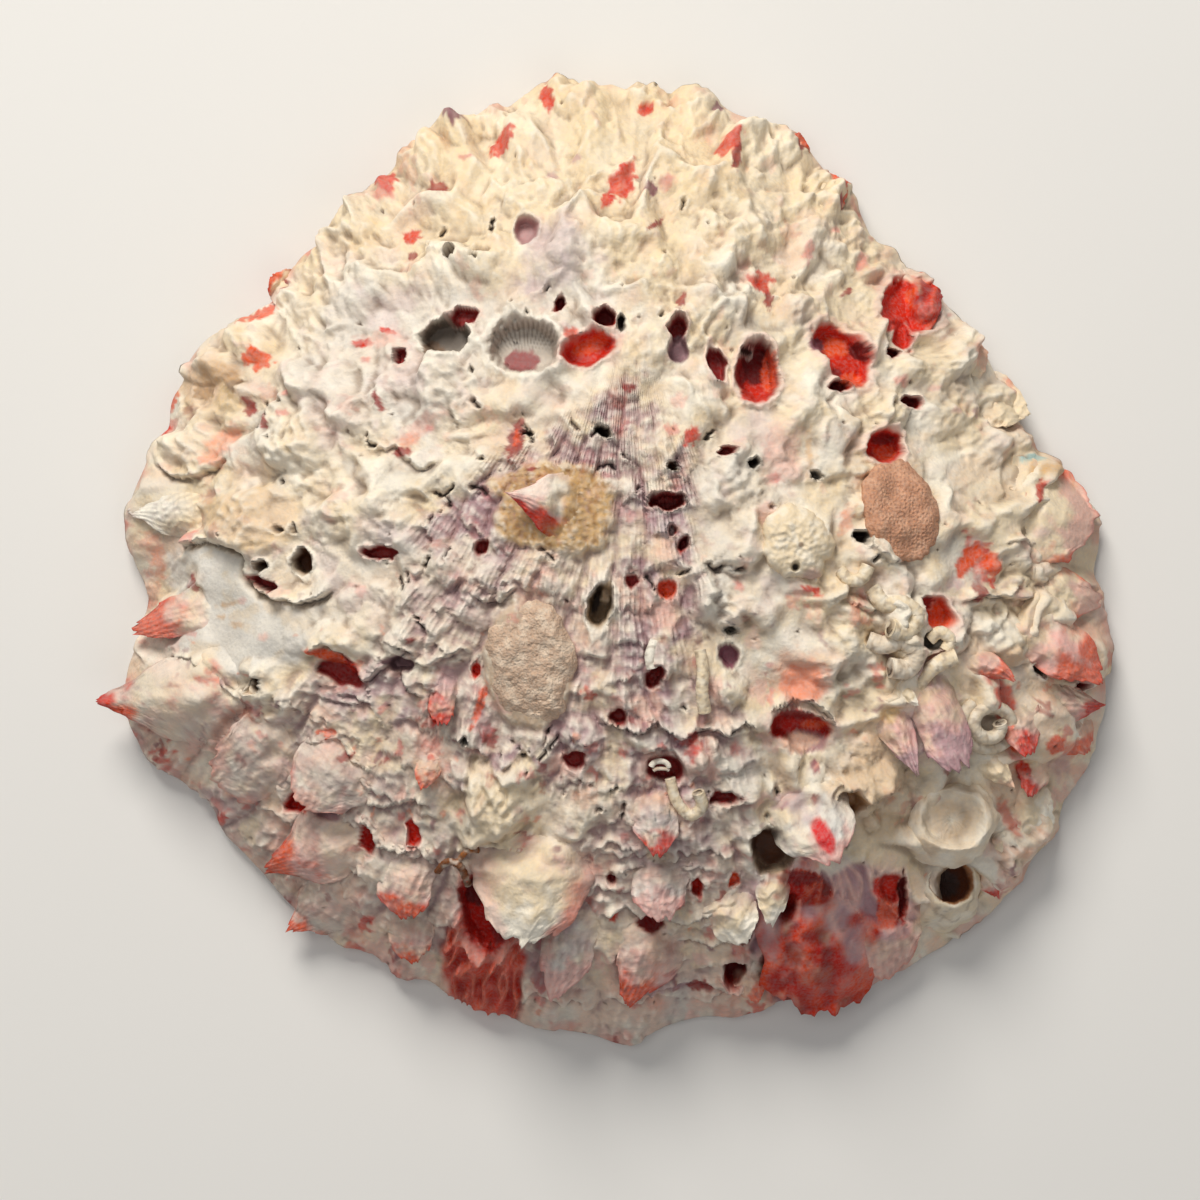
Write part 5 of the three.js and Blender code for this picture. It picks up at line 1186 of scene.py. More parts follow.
# ---------------------------------------------------------------- scales and spines
# Name, foot and tip on the chart, widths at foot, middle and tip in chart
# units, then lift at foot and tip, arch and thickness in mm, and colouring.
SCALES = [
    ('horn_left', 218, 522, 128, 511, 66, 44, 20, -1.2, 1.0, 1.6, 2.2, 'pale'),
    ('spine_red_left', 218, 606, 130, 628, 66, 42, 22, -1.0, 3.0, 1.8, 2.4, 'palered'),
    ('scale_big_left', 258, 690, 99, 706, 122, 88, 34, -1.5, 4.5, 3.2, 2.8, 'pinkpatch'),
    ('scale_left_a', 304, 742, 208, 770, 92, 84, 60, -1.0, 2.6, 1.8, 1.6, 'paleunder'),
    ('scale_left_b', 362, 742, 298, 806, 92, 84, 54, -1.0, 3.8, 1.8, 1.6, 'paleunder'),
    ('scale_left_c', 370, 816, 268, 878, 96, 74, 26, -1.0, 3.4, 2.0, 1.8, 'pinkred'),
    ('scale_left_d', 362, 886, 288, 928, 84, 60, 24, -1.2, 1.6, 1.8, 1.8, 'palerim'),
    ('scale_low_a', 412, 846, 402, 920, 62, 56, 40, -1.0, 3.4, 1.6, 1.4, 'pinkred'),
    ('scale_low_b', 408, 906, 412, 964, 50, 46, 30, -1.0, 2.6, 1.4, 1.3, 'pinkred'),
    ('scale_low_c', 432, 748, 424, 790, 26, 26, 14, -1.0, 1.8, 1.4, 1.2, 'salmon'),
    ('scale_mid_l', 447, 668, 440, 724, 22, 26, 24, -1.0, 2.2, 1.2, 1.2, 'redtip'),
    ('tongue_white', 538, 820, 524, 944, 100, 118, 50, -1.5, 7.0, 2.6, 2.6, 'white'),
    ('tongue_low_a', 582, 890, 555, 1000, 62, 56, 36, -1.2, 4.0, 1.8, 1.6, 'whitepink'),
    ('tongue_low_b', 664, 846, 660, 922, 62, 56, 40, -1.0, 4.2, 1.6, 1.5, 'whitepink'),
    ('tongue_low_c', 660, 912, 628, 1006, 76, 64, 30, -1.2, 3.4, 1.8, 1.6, 'pinkred'),
    ('tongue_low_d', 652, 782, 655, 858, 58, 50, 30, -1.0, 3.4, 1.6, 1.4, 'whitered'),
    ('tongue_low_e', 718, 890, 745, 944, 58, 52, 36, -1.0, 2.6, 1.4, 1.4, 'white'),
    ('tongue_low_f', 745, 965, 756, 1003, 34, 32, 16, -1.0, 1.6, 1.2, 1.2, 'salmon'),
    ('cup_right', 790, 782, 836, 864, 74, 84, 44, -1.2, 7.0, 3.0, 2.2, 'cup'),
    ('scale_red_big', 828, 884, 808, 1009, 130, 118, 98, -1.5, 2.6, 2.4, 2.6, 'deepred'),
    ('tongue_right_l', 776, 862, 770, 926, 34, 32, 18, -1.0, 2.4, 1.2, 1.4, 'white'),
    ('plate_right_a', 1010, 512, 1096, 516, 112, 100, 66, -1.2, 1.6, 1.8, 1.8, 'pinkedge'),
    ('plate_right_b', 1030, 594, 1102, 600, 58, 50, 30, -1.0, 1.4, 1.4, 1.6, 'pinkedge'),
    ('scale_right_c', 1014, 604, 1096, 684, 66, 60, 40, -1.0, 5.0, 2.0, 1.7, 'pinkstripe'),
    ('scale_right_d', 1040, 700, 1105, 707, 52, 38, 10, -1.0, 3.0, 1.6, 1.7, 'redtip'),
    ('scale_right_e', 1062, 722, 1088, 752, 50, 44, 24, -1.0, 0.8, 1.2, 1.6, 'salmon'),
    ('scale_right_f', 1014, 700, 1031, 756, 44, 40, 24, -1.0, 3.4, 1.6, 1.3, 'redtip'),
    ('scale_right_g', 1034, 752, 1034, 798, 30, 30, 16, -1.0, 2.6, 1.2, 1.3, 'redtip'),
    ('cone_right', 980, 756, 1014, 789, 30, 24, 8, -1.0, 3.0, 1.6, 2.4, 'creamtip'),
    ('tongue_purple_a', 914, 664, 968, 768, 52, 50, 44, -1.0, 6.0, 2.0, 1.6, 'purple'),
    ('tongue_purple_b', 880, 700, 922, 773, 42, 32, 12, -1.0, 5.0, 1.6, 1.4, 'purple'),
    ('tongue_purple_c', 965, 650, 1014, 682, 30, 26, 12, -1.0, 3.2, 1.4, 1.3, 'palered'),
    ('tongue_white_r', 896, 684, 919, 705, 16, 14, 8, -0.6, 3.2, 0.8, 1.1, 'white'),
    ('tip_pink_low', 978, 862, 1001, 898, 34, 28, 8, -1.0, 1.6, 1.4, 1.8, 'redtip'),
    ('scale_right_low', 1010, 800, 1052, 822, 60, 56, 40, -1.2, 1.2, 1.6, 1.8, 'cream'),
    ('scale_right_low2', 985, 838, 1010, 866, 44, 36, 16, -1.0, 1.4, 1.2, 1.6, 'cream'),
    ('shelf_low_right', 872, 912, 892, 976, 84, 78, 54, -1.0, 0.8, 1.2, 1.6, 'palepink'),
    ('knob_top_a', 790, 160, 800, 133, 44, 34, 16, -1.0, 2.0, 1.6, 3.0, 'crustred'),
    ('knob_top_b', 815, 200, 846, 182, 56, 46, 26, -1.0, 2.4, 1.8, 3.4, 'crustred'),
    ('knob_top_c', 903, 306, 943, 298, 66, 58, 34, -1.0, 1.6, 1.6, 2.6, 'deepred'),
    ('knob_top_d', 960, 360, 987, 352, 54, 46, 30, -1.0, 1.6, 1.6, 2.6, 'crustpink'),
    ('knob_top_e', 985, 398, 1030, 412, 60, 46, 22, -1.0, 2.2, 1.8, 3.2, 'crust'),
    ('knob_top_f', 290, 290, 272, 275, 44, 36, 22, -1.0, 1.6, 1.4, 2.8, 'crustred'),
    ('spine_mid', 590, 512, 506, 494, 84, 62, 8, -1.2, 4.2, 2.4, 3.4, 'spinemid'),
]

# body, tip, where the tip colour starts, edge, edge share, underside
COLOURING = {
    'pale': ('whitish', 'white', 0.6, 'white', 0.4, 'pinkgrey'), 'redtip': ('palepink', 'red', 0.66, 'redorange', 0.5, 'red'),
    'pinkpatch': ('greywhite', 'red', 0.86, 'palepink', 0.6, 'maroon'), 'paleunder': ('greywhite', 'pinkpale', 0.8, 'pink', 0.6, 'salmondeep'),
    'pinkred': ('palepink', 'redorange', 0.7, 'red', 0.6, 'deepred'), 'palerim': ('greywhite', 'redorange', 0.8, 'redorange', 0.5, 'red'),
    'salmon': ('salmonpale', 'salmondeep', 0.6, 'redorange', 0.4, 'redorange'), 'white': ('cream', 'white', 0.7, 'white', 0.5, 'palepink'),
    'whitepink': ('whitish', 'palepink', 0.6, 'pink', 0.5, 'pink'), 'whitered': ('whitish', 'red', 0.66, 'palepink', 0.5, 'deepred'),
    'deepred': ('deepred', 'red', 0.5, 'redorange', 0.6, 'deepred'), 'pinkedge': ('cream', 'pinkpale', 0.6, 'redorange', 0.75, 'red'),
    'pinkstripe': ('palepink', 'salmondeep', 0.6, 'redorange', 0.4, 'red'), 'creamtip': ('cream', 'salmonpale', 0.8, 'cream', 0.2, 'tan'),
    'purple': ('palepink', 'purplepale', 0.6, 'purple', 0.5, 'purple'), 'palered': ('pinkpale', 'salmondeep', 0.5, 'red', 0.5, 'red'),
    'cream': ('cream', 'white', 0.6, 'tanpale', 0.4, 'tan'), 'palepink': ('palepink', 'pinkpale', 0.6, 'salmondeep', 0.5, 'salmondeep'),
    'crust': ('cream', 'cream', 0.6, 'tanpale', 0.5, 'tan'), 'crustred': ('cream', 'redorange', 0.66, 'red', 0.5, 'red'),
    'crustpink': ('cream', 'salmonpale', 0.5, 'pinkpale', 0.5, 'salmon'), 'spinemid': ('greywhite', 'palepink', 0.5, 'red', 0.5, 'red'), 'cup': ('whitish', 'palepink', 0.7, 'white', 0.8, 'deepred'),
}


OWN_COLOUR = {'white', 'cup', 'deepred', 'purple', 'spinemid', 'pinkedge', 'pinkstripe', 'crust', 'crustred', 'crustpink', 'cream', 'salmon', 'creamtip', 'palered'}


def joined(name, parts, extra=None):
    verts, faces, tints, off = [], [], [], 0
    for v, f, c in parts:
        verts.append(v)
        faces.append(f + off)
        tints.append(c)
        off += len(v)
    V = np.concatenate(verts)
    turn = np.arctan2(V[:, 1] - CY, V[:, 0] - CX)
    u = np.hypot(V[:, 0] - CX, V[:, 1] - CY) / ring(EDGE_RADII, turn)
    # nothing reaches through into the hollow side
    V[:, 2] = np.where(u < 0.95, np.maximum(V[:, 2], inside_height(np.clip(u, 0, 1), turn) + 0.5), V[:, 2])
    return new_object(name, V, np.concatenate(faces), np.concatenate(tints), extra=extra)


def slab(top, low, tint_top, tint_low):
    """A closed sheet from a top and an underside grid of points."""
    nr, nc = top.shape[:2]
    ids = np.arange(nr * nc).reshape(nr, nc)
    lid = ids + nr * nc
    def quads(g, flip):
        a = np.stack([g[:-1, :-1], g[:-1, 1:], g[1:, 1:], g[1:, :-1]], -1).reshape(-1, 4)
        return a[:, ::-1] if flip else a
    e1, e2 = top[1:, :-1] - top[:-1, :-1], top[:-1, 1:] - top[:-1, :-1]
    flip = np.cross(e2, e1)[..., 2].sum() < 0
    f = [quads(ids, flip), quads(lid, not flip)]
    def wall(a, b):
        w = np.stack([a[:-1], b[:-1], b[1:], a[1:]], -1)
        return w[:, ::-1] if flip else w
    f += [wall(ids[0, :], lid[0, :]), wall(lid[-1, :], ids[-1, :]), wall(lid[:, 0], ids[:, 0]), wall(ids[:, -1], lid[:, -1])]
    q = np.concatenate(f)
    tris = np.concatenate([q[:, [0, 1, 2]], q[:, [0, 2, 3]]])
    return np.concatenate([top.reshape(-1, 3), low.reshape(-1, 3)]), tris, np.concatenate([tint_top.reshape(-1, 3), tint_low.reshape(-1, 3)])


def tongue(i, bx, by, tx, ty, wb, wm, wt, l0, l1, arch, thick, scheme, ns=44, nt=30, ground_at=None):
    s, t = np.meshgrid(np.linspace(0, 1, ns), np.linspace(-1, 1, nt), indexing='ij')
    lx, ly = tx - bx, ty - by
    length = math.hypot(lx, ly)
    ax, ay = lx / length, ly / length
    rag = 0.06 * noise(t * 3.1 + i, t * 0 + i * 7.7, 1.0, 1700 + i) + 0.035 * noise(t * 8 + i, t * 0 + i * 3.3, 1.0, 1750 + i)
    blunt = 0.16 + 0.34 * (1 - min(1, wt / max(wb, 1)))
    if wb > 95 and scheme in ('deepred', 'white'):
        blunt *= 0.45
    reach = 1 - blunt * np.abs(t) ** 2.0 + rag
    se = s * (1 + (reach - 1) * s)
    width = wb * (1 - se) * (1 - 2 * se) + 4 * wm * se * (1 - se) + wt * se * (2 * se - 1)
    side_id = np.sign(t) * 5.3 + i
    width = np.maximum(width, 3) * (1 + 0.10 * noise(se * 3.4 + i, side_id, 1.0, 1800 + i) + 0.05 * noise(se * 9, side_id, 1.0, 1820 + i))
    bend = 0.08 * length * noise(se * 1.6 + i * 1.7, t * 0 + i, 1.0, 1840 + i) * se
    p = bx + ax * se * length - ay * (t * width / 2 + bend)
    q = by + ay * se * length + ax * (t * width / 2 + bend)
    crusty = scheme.startswith('crust') or scheme in ('cream', 'white', 'whitish', 'creamtip', 'pinkedge', 'pinkstripe', 'pinkpatch')
    lift = l0 + (l1 - l0) * se ** 1.2
    ridge_at = 0.25 * noise(se * 1.2, se * 0 + i, 1.0, 1850 + i)
    prof = np.clip(1 - np.abs(t - ridge_at) ** 1.7 / (1 + np.abs(ridge_at)) ** 1.7, 0, 1)
    arching = arch * 1.15 * prof * (0.3 + 0.7 * np.sin(np.pi * np.clip(se * 0.75 + 0.18, 0, 1)))
    rib_no = t * max(2.5, wb / 9.0) / 2 + 0.5 * noise(p, q, 22, 1855 + i)
    ribs = np.cos(TAU * rib_no)
    rings = (se * length + 9 * noise(p, q, 24, 1860 + i)) / 13
    saw = (rings - np.floor(rings)) ** 2.4
    knobs = 0.55 * fbm(p, q, 30, 1880 + i, 2) + 0.20 * np.clip(1 - 2.5 * np.abs(noise(p, q, 14, 1890 + i)), 0, 1)
    top_lift = 0.9 + lift + arching + (0.03 if crusty else 0.09) * ribs + (0.08 if crusty else 0.16) * saw + knobs * (1.5 if crusty else 0.9)
    X, Y = from_chart(p, q, top_lift)
    Z = dome(X, Y) + top_lift
    body, tip, start, edge_c, share, under = COLOURING[scheme]
    c = np.zeros(p.shape + (3,)) + PAINT[body]
    rough = 0.16 * noise(p, q, 18, 1900 + i) + 0.06 * noise(p, q, 6, 1910 + i)
    c = mix(c, PAINT['cream'], 0.6 * smooth(-0.1, 0.4, fbm(p, q, 30, 1920 + i, 3)))
    c = mix(c, PAINT[edge_c], 0.5 * share * smooth(0.15, 0.5, fbm(p, q, 24, 1930 + i, 2)))
    if scheme == 'deepred':
        # dark red between the flutes is painted shade and red-orange on their crests painted highlight, over the
        # scale's own red
        fl = np.clip(1 - np.abs(noise(t * width / 2 + 9 * noise(p, q, 30, 1938), se * 34, 21, 1934)) * 1.8 + 0.25 * fbm(p, q, 18, 1939, 2), 0, 1)
        c = mix(c, PAINT['redorange'], 0.8 * smooth(0.3, 0.95, fl))
        c = mix(c, PAINT['hole_red'], 0.6 * smooth(0.25, 0.0, fl))
        c = mix(c, PAINT['palepink'], 0.35 * smooth(0.15, 0.45, fbm(p, q, 28, 1936, 3)))
        top_lift = top_lift + 0.9 * fl
        Z = dome(X, Y) + top_lift
    c = mix(c, PAINT[tip], (0.9 if scheme != 'deepred' else 0.4) * smooth(start - 0.08, start + 0.16, se + rough * 1.3))
    own = scheme in OWN_COLOUR
    c = mix(c, PAINT[edge_c], share * smooth(0.70, 0.95, np.abs(t) + rough) * (1 if own else smooth(0.45, 0.8, se)))
    if not crusty:
        # painted shade in the rib grooves and below each growth step, painted highlight on the rib crests
        c = mix(c, PAINT['shade_purple'], 0.30 * smooth(0.30, 0.0, saw) * smooth(0.3, -0.6, ribs))
        c = mix(c, PAINT['white'], 0.25 * smooth(0.3, 1.0, ribs) * smooth(0.2, 0.8, saw) * (scheme != 'deepred'))
    if scheme == 'deepred' and wb > 100:
        c = mix(c, mix(np.zeros(p.shape + (3,)) + PAINT['purplepale'], PAINT['palepink'], smooth(0.2, 0.8, fl)), 0.75 * smooth(1.15, 0.6, ellipse(p, q, 856, 925, 28, 38, 0) + 2 * rough))
        # a dark red patch as painted shade for a hollow in the big red scale
        c = mix(c, PAINT['hole_red'], 0.85 * smooth(1.1, 0.6, ellipse(p, q, 788, 908, 15, 17, 0) + 2 * rough))
        c = mix(c, PAINT['pinkgrey'], 0.6 * smooth(1.1, 0.6, ellipse(p, q, 772, 938, 10, 34, 0) + 2 * rough))
    if scheme == 'white' and wb > 90:
        c = mix(c, PAINT['palered'], 0.75 * smooth(0.55, 0.85, -t + rough) * smooth(0.2, 0.5, se))
        c = mix(c, PAINT['pinkpale'], 0.55 * smooth(0.45, 0.8, t + 1.5 * rough))
    if scheme == 'pinkpatch':
        c = mix(c, PAINT['redorange'], 0.95 * smooth(1.15, 0.8, ellipse(p, q, 120, 717, 19, 11, 22) + rough))
    if scheme == 'spinemid':
        c = mix(c, PAINT['red'], 0.95 * smooth(-0.20, -0.45, t + 1.5 * rough))
        c = mix(c, PAINT['white'], 0.6 * smooth(0.0, 0.4, t + rough))
    if scheme == 'cup':
        c = mix(c, PAINT['lavender'], 0.8 * smooth(1.0, 0.6, ellipse(p, q, 804, 808, 22, 20, -30)))
        c = mix(c, srgb(206, 60, 62), 0.95 * smooth(1.1, 0.75, ellipse(p, q, 823, 836, 10, 22, 28) + rough))
        top_lift = top_lift - 3.0 * smooth(1.0, 0.3, ellipse(p, q, 812, 818, 24, 30, -30))
        Z = dome(X, Y) + top_lift
    if ground_at is None:
        return X, Y, p, q
    ground, skin_c, off = ground_at
    m = smooth(0.02, 0.50, s + 0.12 * noise(p, q, 22, 1950 + i)) * (1 - np.abs(t) ** 3 * (1 - smooth(0.30, 0.85, s)))
    m = np.maximum(m, off)
    Z = (ground - 0.35) * (1 - m) + np.maximum(Z, ground * 0.4 + Z * 0.6) * m
    mc = np.clip(smooth(0.10, 0.55, s + 0.25 * noise(p, q, 14, 1960 + i)) * (1 - 0.8 * np.abs(t) ** 3 * (1 - smooth(0.30, 0.85, s))), 0, 1)
    if not own:
        mc = mc * (0.40 + 0.60 * smooth(start - 0.22, start + 0.10, se + rough))
    c = skin_c + (c - skin_c) * mc[..., None]
    edge = np.maximum(np.abs(t) ** 6, smooth(0.86, 1.0, s))
    th = thick * (1 - 0.72 * edge) * (1 - 0.35 * se)
    top = np.stack([X, Y, np.maximum(Z, 0.9)], -1)
    low = top.copy()
    low[..., 2] = np.maximum(top[..., 2] - np.maximum(th, 0.3), 0.25)
    cl = np.zeros(p.shape + (3,)) + PAINT[under] * 0.9
    cl = mix(cl, PAINT['maroon'], 0.5 * smooth(0.0, 0.4, fbm(p, q, 14, 1940 + i, 3)))
    rimmed = smooth(0.93, 1.0, s)
    c = mix(c, PAINT[under], 0.35 * rimmed * (scheme not in ('white', 'cream', 'crust')))
    return slab(top, low, c, cl)


def all_tongues():
    """Every scale and spine, rooted in the crust: the crust under all of them is worked out in one go."""
    first = [tongue(i, *row[1:]) for i, row in enumerate(SCALES)]
    shape = first[0][0].shape
    X, Y, p, q = (np.concatenate([f[k].ravel() for f in first]) for k in range(4))
    u = np.hypot(X - CX, Y - CY) / ring(EDGE_RADII, np.arctan2(Y - CY, X - CX))
    got = relief(p, q, u)
    off = smooth(0.98, 1.03, u)
    ground = (dome(X, Y) + got[0] - 1.0) * (1 - off) + 1.0 * off
    ground = np.where(u < 0.95, np.maximum(ground, inside_height(np.clip(u, 0, 1), np.arctan2(Y - CY, X - CX)) + 1.3), ground)
    skin_c = paint(p, q, u, got[0], *got[1:], np.zeros(p.shape), None)
    out = {'scales_left': [], 'scales_low': [], 'scales_right': [], 'knobs_top': []}
    n = shape[0] * shape[1]
    for i, (name, *rest) in enumerate(SCALES):
        part = slice(i * n, (i + 1) * n)
        at = (ground[part].reshape(shape), skin_c[part].reshape(shape + (3,)), off[part].reshape(shape))
        bx, by = rest[0], rest[1]
        key = 'knobs_top' if name.startswith('knob') else 'scales_low' if by > 740 and 380 < bx < 900 else 'scales_left' if bx < 620 else 'scales_right'
        bare = 1.0 if rest[-1].startswith('crust') or rest[-1] in ('white', 'cream', 'cup', 'creamtip', 'spinemid', 'pinkedge', 'pinkstripe', 'deepred', 'pinkpatch') else 0.62 if rest[-1] in OWN_COLOUR else 0.25
        out[key].append(tongue(i, *rest, ground_at=at) + (bare,))
    return out


for name, parts in all_tongues().items():
    smooth_face = [np.full(len(part[0]), part[3]) for part in parts]
    dress(joined(name, [part[:3] for part in parts], {'Lime': np.concatenate(smooth_face)}), SHELL, 'shell', 'valve')


# ---------------------------------------------------------------- growths that live on the shell
def surface(p, q):
    """Height of the crusted shell at chart points, and where they fall, mm."""
    X, Y = from_chart(p, q, 1.0)
    u = np.hypot(X - CX, Y - CY) / ring(EDGE_RADII, np.arctan2(Y - CY, X - CX))
    h = relief(p, q, u)[0] - 0.5
    return X, Y, dome(X, Y) + h


def patch(cx, cy, rx, ry, turn, height, texture, colour, seed, nr=46, na=120, sink=1.4):
    """A cushion of crust on an oval of the chart."""
    r, a = np.meshgrid(np.linspace(0, 1, nr) ** 0.8, np.linspace(0, TAU, na, endpoint=False), indexing='ij')
    wob = 1 + 0.13 * noise(np.cos(a) * 1.8, np.sin(a) * 1.8, 1.0, seed) + 0.04 * noise(np.cos(a) * 6, np.sin(a) * 6, 1.0, seed + 1) * smooth(0.7, 1.0, r)
    c, s = math.cos(math.radians(turn)), math.sin(math.radians(turn))
    ex, ey = r * wob * rx * np.cos(a), r * wob * ry * np.sin(a)
    p, q = cx + c * ex - s * ey, cy - (s * ex + c * ey)
    X, Y, Z0 = surface(p, q)
    flat = dome(X, Y) + 0.8
    body = np.sqrt(np.clip(1 - r ** 2.4, 0, 1))
    Z = (flat * 0.88 + Z0 * 0.12) + height * body + texture(p, q, r) * smooth(1.0, 0.8, r) - sink * (r > 0.995)
    top = np.stack([X, Y, Z], -1)
    n = nr * na
    verts = [top.reshape(-1, 3)]
    low_ring = top[-1].copy()
    low_ring[:, 2] -= 0.8
    verts.append(low_ring)
    verts.append(np.array([[X[0, 0], Y[0, 0], low_ring[:, 2].mean()]]))
    ids = np.arange(n).reshape(nr, na)
    nxt = np.roll(ids, -1, axis=1)
    q4 = np.stack([ids[1:-1], ids[2:], nxt[2:], nxt[1:-1]], -1).reshape(-1, 4)
    tri = [q4[:, [0, 1, 2]], q4[:, [0, 2, 3]], np.stack([np.zeros(na, int), ids[1], nxt[1]], -1)]
    lr = n + np.arange(na)
    lrn = np.roll(lr, -1)
    tri += [np.stack([ids[-1], lr, lrn], -1), np.stack([ids[-1], lrn, nxt[-1]], -1), np.stack([np.full(na, n + na), lrn, lr], -1)]
    tris = np.concatenate(tri)
    v = np.concatenate(verts)
    used = np.unique(tris)
    remap = np.full(len(v), -1)
    remap[used] = np.arange(len(used))
    col = np.concatenate([colour(p, q, r).reshape(-1, 3), colour(p[-1], q[-1], r[-1]), colour(p[:1, 0], q[:1, 0], r[:1, 0])])
    f = remap[tris]
    v, col = v[used], col[used]
    vol = np.einsum('ij,ij->i', v[f[:, 0]], np.cross(v[f[:, 1]], v[f[:, 2]])).sum()
    return v, (f if vol > 0 else f[:, ::-1]), col


def sweep(path, radii, colour_fn, sides=18, closed_start=True, squash=1.0, wobble=0.06, seed=0):
    """A tube through points with a radius at each; the last rings may turn back inside to make a mouth."""
    path = np.array(path, float)
    radii = np.array(radii, float)
    n = len(path)
    d = np.gradient(path, axis=0)
    same = np.linalg.norm(d, axis=1) < 1e-6
    for i in range(n):
        if same[i]:
            d[i] = d[i - 1]
    T = unit(d)
    up = np.array([0.0, 0.0, 1.0])
    ref = np.where(np.abs(T @ up)[:, None] > 0.92, np.array([1.0, 0.0, 0.0]), up)
    A = unit(np.cross(T, ref))
    for i in range(1, n):
        a = A[i - 1] - T[i] * (A[i - 1] @ T[i])
        A[i] = a / max(np.linalg.norm(a), 1e-9)
    B = np.cross(T, A)
    ang = np.linspace(0, TAU, sides, endpoint=False)
    rr = radii[:, None] * (1 + wobble * noise(np.cos(ang)[None, :] * 2 + np.arange(n)[:, None] * 0.5, np.sin(ang)[None, :] * 2 + seed, 1.0, 2000 + seed))
    V = path[:, None] + A[:, None] * (rr * np.cos(ang))[..., None] + B[:, None] * (rr * np.sin(ang) * squash)[..., None]
    ids = np.arange(n * sides).reshape(n, sides)
    nxt = np.roll(ids, -1, axis=1)
    q4 = np.stack([ids[:-1], nxt[:-1], nxt[1:], ids[1:]], -1).reshape(-1, 4)
    tris = [q4[:, [0, 1, 2]], q4[:, [0, 2, 3]]]
    v = np.concatenate([V.reshape(-1, 3), path[:1], path[-1:]])
    tris.append(np.stack([np.full(sides, n * sides), nxt[0], ids[0]], -1))
    tris.append(np.stack([np.full(sides, n * sides + 1), ids[-1], nxt[-1]], -1))
    f = np.concatenate(tris)
    col = colour_fn(np.repeat(np.arange(n), sides), V.reshape(-1, 3))
    col = np.concatenate([col, col[:1], col[-1:]])
    vol = np.einsum('ij,ij->i', v[f[:, 0]], np.cross(v[f[:, 1]], v[f[:, 2]])).sum()
    return v, (f if vol > 0 else f[:, ::-1]), col


def spline(points, n):
    pts = np.array(points, float)
    t = np.linspace(0, len(pts) - 1, n)
    i = np.clip(np.floor(t).astype(int), 0, len(pts) - 2)
    f = (t - i)[:, None]
    g = lambda k: pts[np.clip(i + k, 0, len(pts) - 1)]
    return 0.5 * (2 * g(0) + (g(1) - g(-1)) * f + (2 * g(-1) - 5 * g(0) + 4 * g(1) - g(2)) * f ** 2 + (-g(-1) + 3 * g(0) - 3 * g(1) + g(2)) * f ** 3)


def on_chart(points, lift):
    """Chart points with a lift over the dome each, as places in mm."""
    out = []
    for (x, y), l in zip(points, lift):
        X, Y = from_chart(np.array([x]), np.array([y]), l)
        out.append((X[0], Y[0], dome(X, Y)[0] + l))
    return out


def worm_tube(points, lift, radius, mouth, tint, dark, seed, n=70, sides=18, rings=0.03):
    path = spline(on_chart(points, lift), n)
    rad = radius * (0.85 + 0.15 * np.linspace(0, 1, n)) * (1 + rings * np.sin(np.arange(n) * 1.9 + seed) * 0.5)
    steps = [path]
    radii = [rad]
    if mouth:
        end, back = path[-1], path[-7]
        steps.append(np.array([end, end, back, back]))
        radii.append(np.array([radius * 0.95, radius * 0.62, radius * 0.55, radius * 0.30]))
    P3, R3 = np.concatenate(steps), np.concatenate(radii)

    def colour(idx, v):
        c = np.zeros((len(idx), 3)) + tint
        c = mix(c, PAINT['white'], 0.5 * smooth(-0.1, 0.5, noise(v[:, 0], v[:, 1], 1.1, seed)))
        c = mix(c, PAINT['shade'], 0.45 * smooth(0.1, 0.6, noise(v[:, 0] + 7, v[:, 1], 0.8, seed + 1)))
        # the mouth's turned-in rings are painted dark brown: painted shade inside the tube
        return mix(c, dark, (idx >= n + 1) * 0.92)
    return sweep(P3, R3, colour, sides=sides, seed=seed)


CREAM, BROWN_DARK = PAINT['cream'], srgb(60, 34, 22)

# ringed tubes of lime on the right
dress(joined('tube_coil', [worm_tube([(990 + (29 - 19 * t) * math.cos(2.2 + 10.6 * t), 725 - (27 - 17 * t) * math.sin(2.2 + 10.6 * t)) for t in np.linspace(0, 1, 26)],
                                     [0.9 + 1.7 * t for t in np.linspace(0, 1, 26)], 1.05, True, srgb(216, 200, 176), srgb(70, 40, 30), 1, n=150, sides=16)]),
      TUBE, 'tube_lime', 'worm_tube_coil')
dress(joined('tube_knot', [
    worm_tube([(872, 588), (884, 604), (903, 604), (916, 616), (906, 632), (890, 628)], [0.6, 1.6, 2.6, 3.0, 3.2, 3.4], 1.35, True, CREAM, BROWN_DARK, 2, n=90),
    worm_tube([(868, 640), (884, 645), (902, 640), (915, 652), (908, 668), (890, 668)], [0.6, 1.6, 2.4, 2.8, 2.6, 2.4], 1.5, True, srgb(218, 202, 180), BROWN_DARK, 3, n=90),
    worm_tube([(915, 690), (928, 672), (942, 662), (956, 657)], [0.4, 1.4, 2.2, 3.0], 1.25, True, CREAM, BROWN_DARK, 4, n=60),
    worm_tube([(930, 640), (940, 632), (950, 640), (946, 650)], [0.4, 1.4, 1.8, 1.4], 1.0, False, CREAM, BROWN_DARK, 5, n=50),
    worm_tube([(840, 570), (850, 580), (862, 578), (868, 566)], [0.5, 1.4, 1.9, 2.0], 1.0, True, CREAM, BROWN_DARK, 6, n=50)]),
      TUBE, 'tube_lime', 'worm_tube_knot')
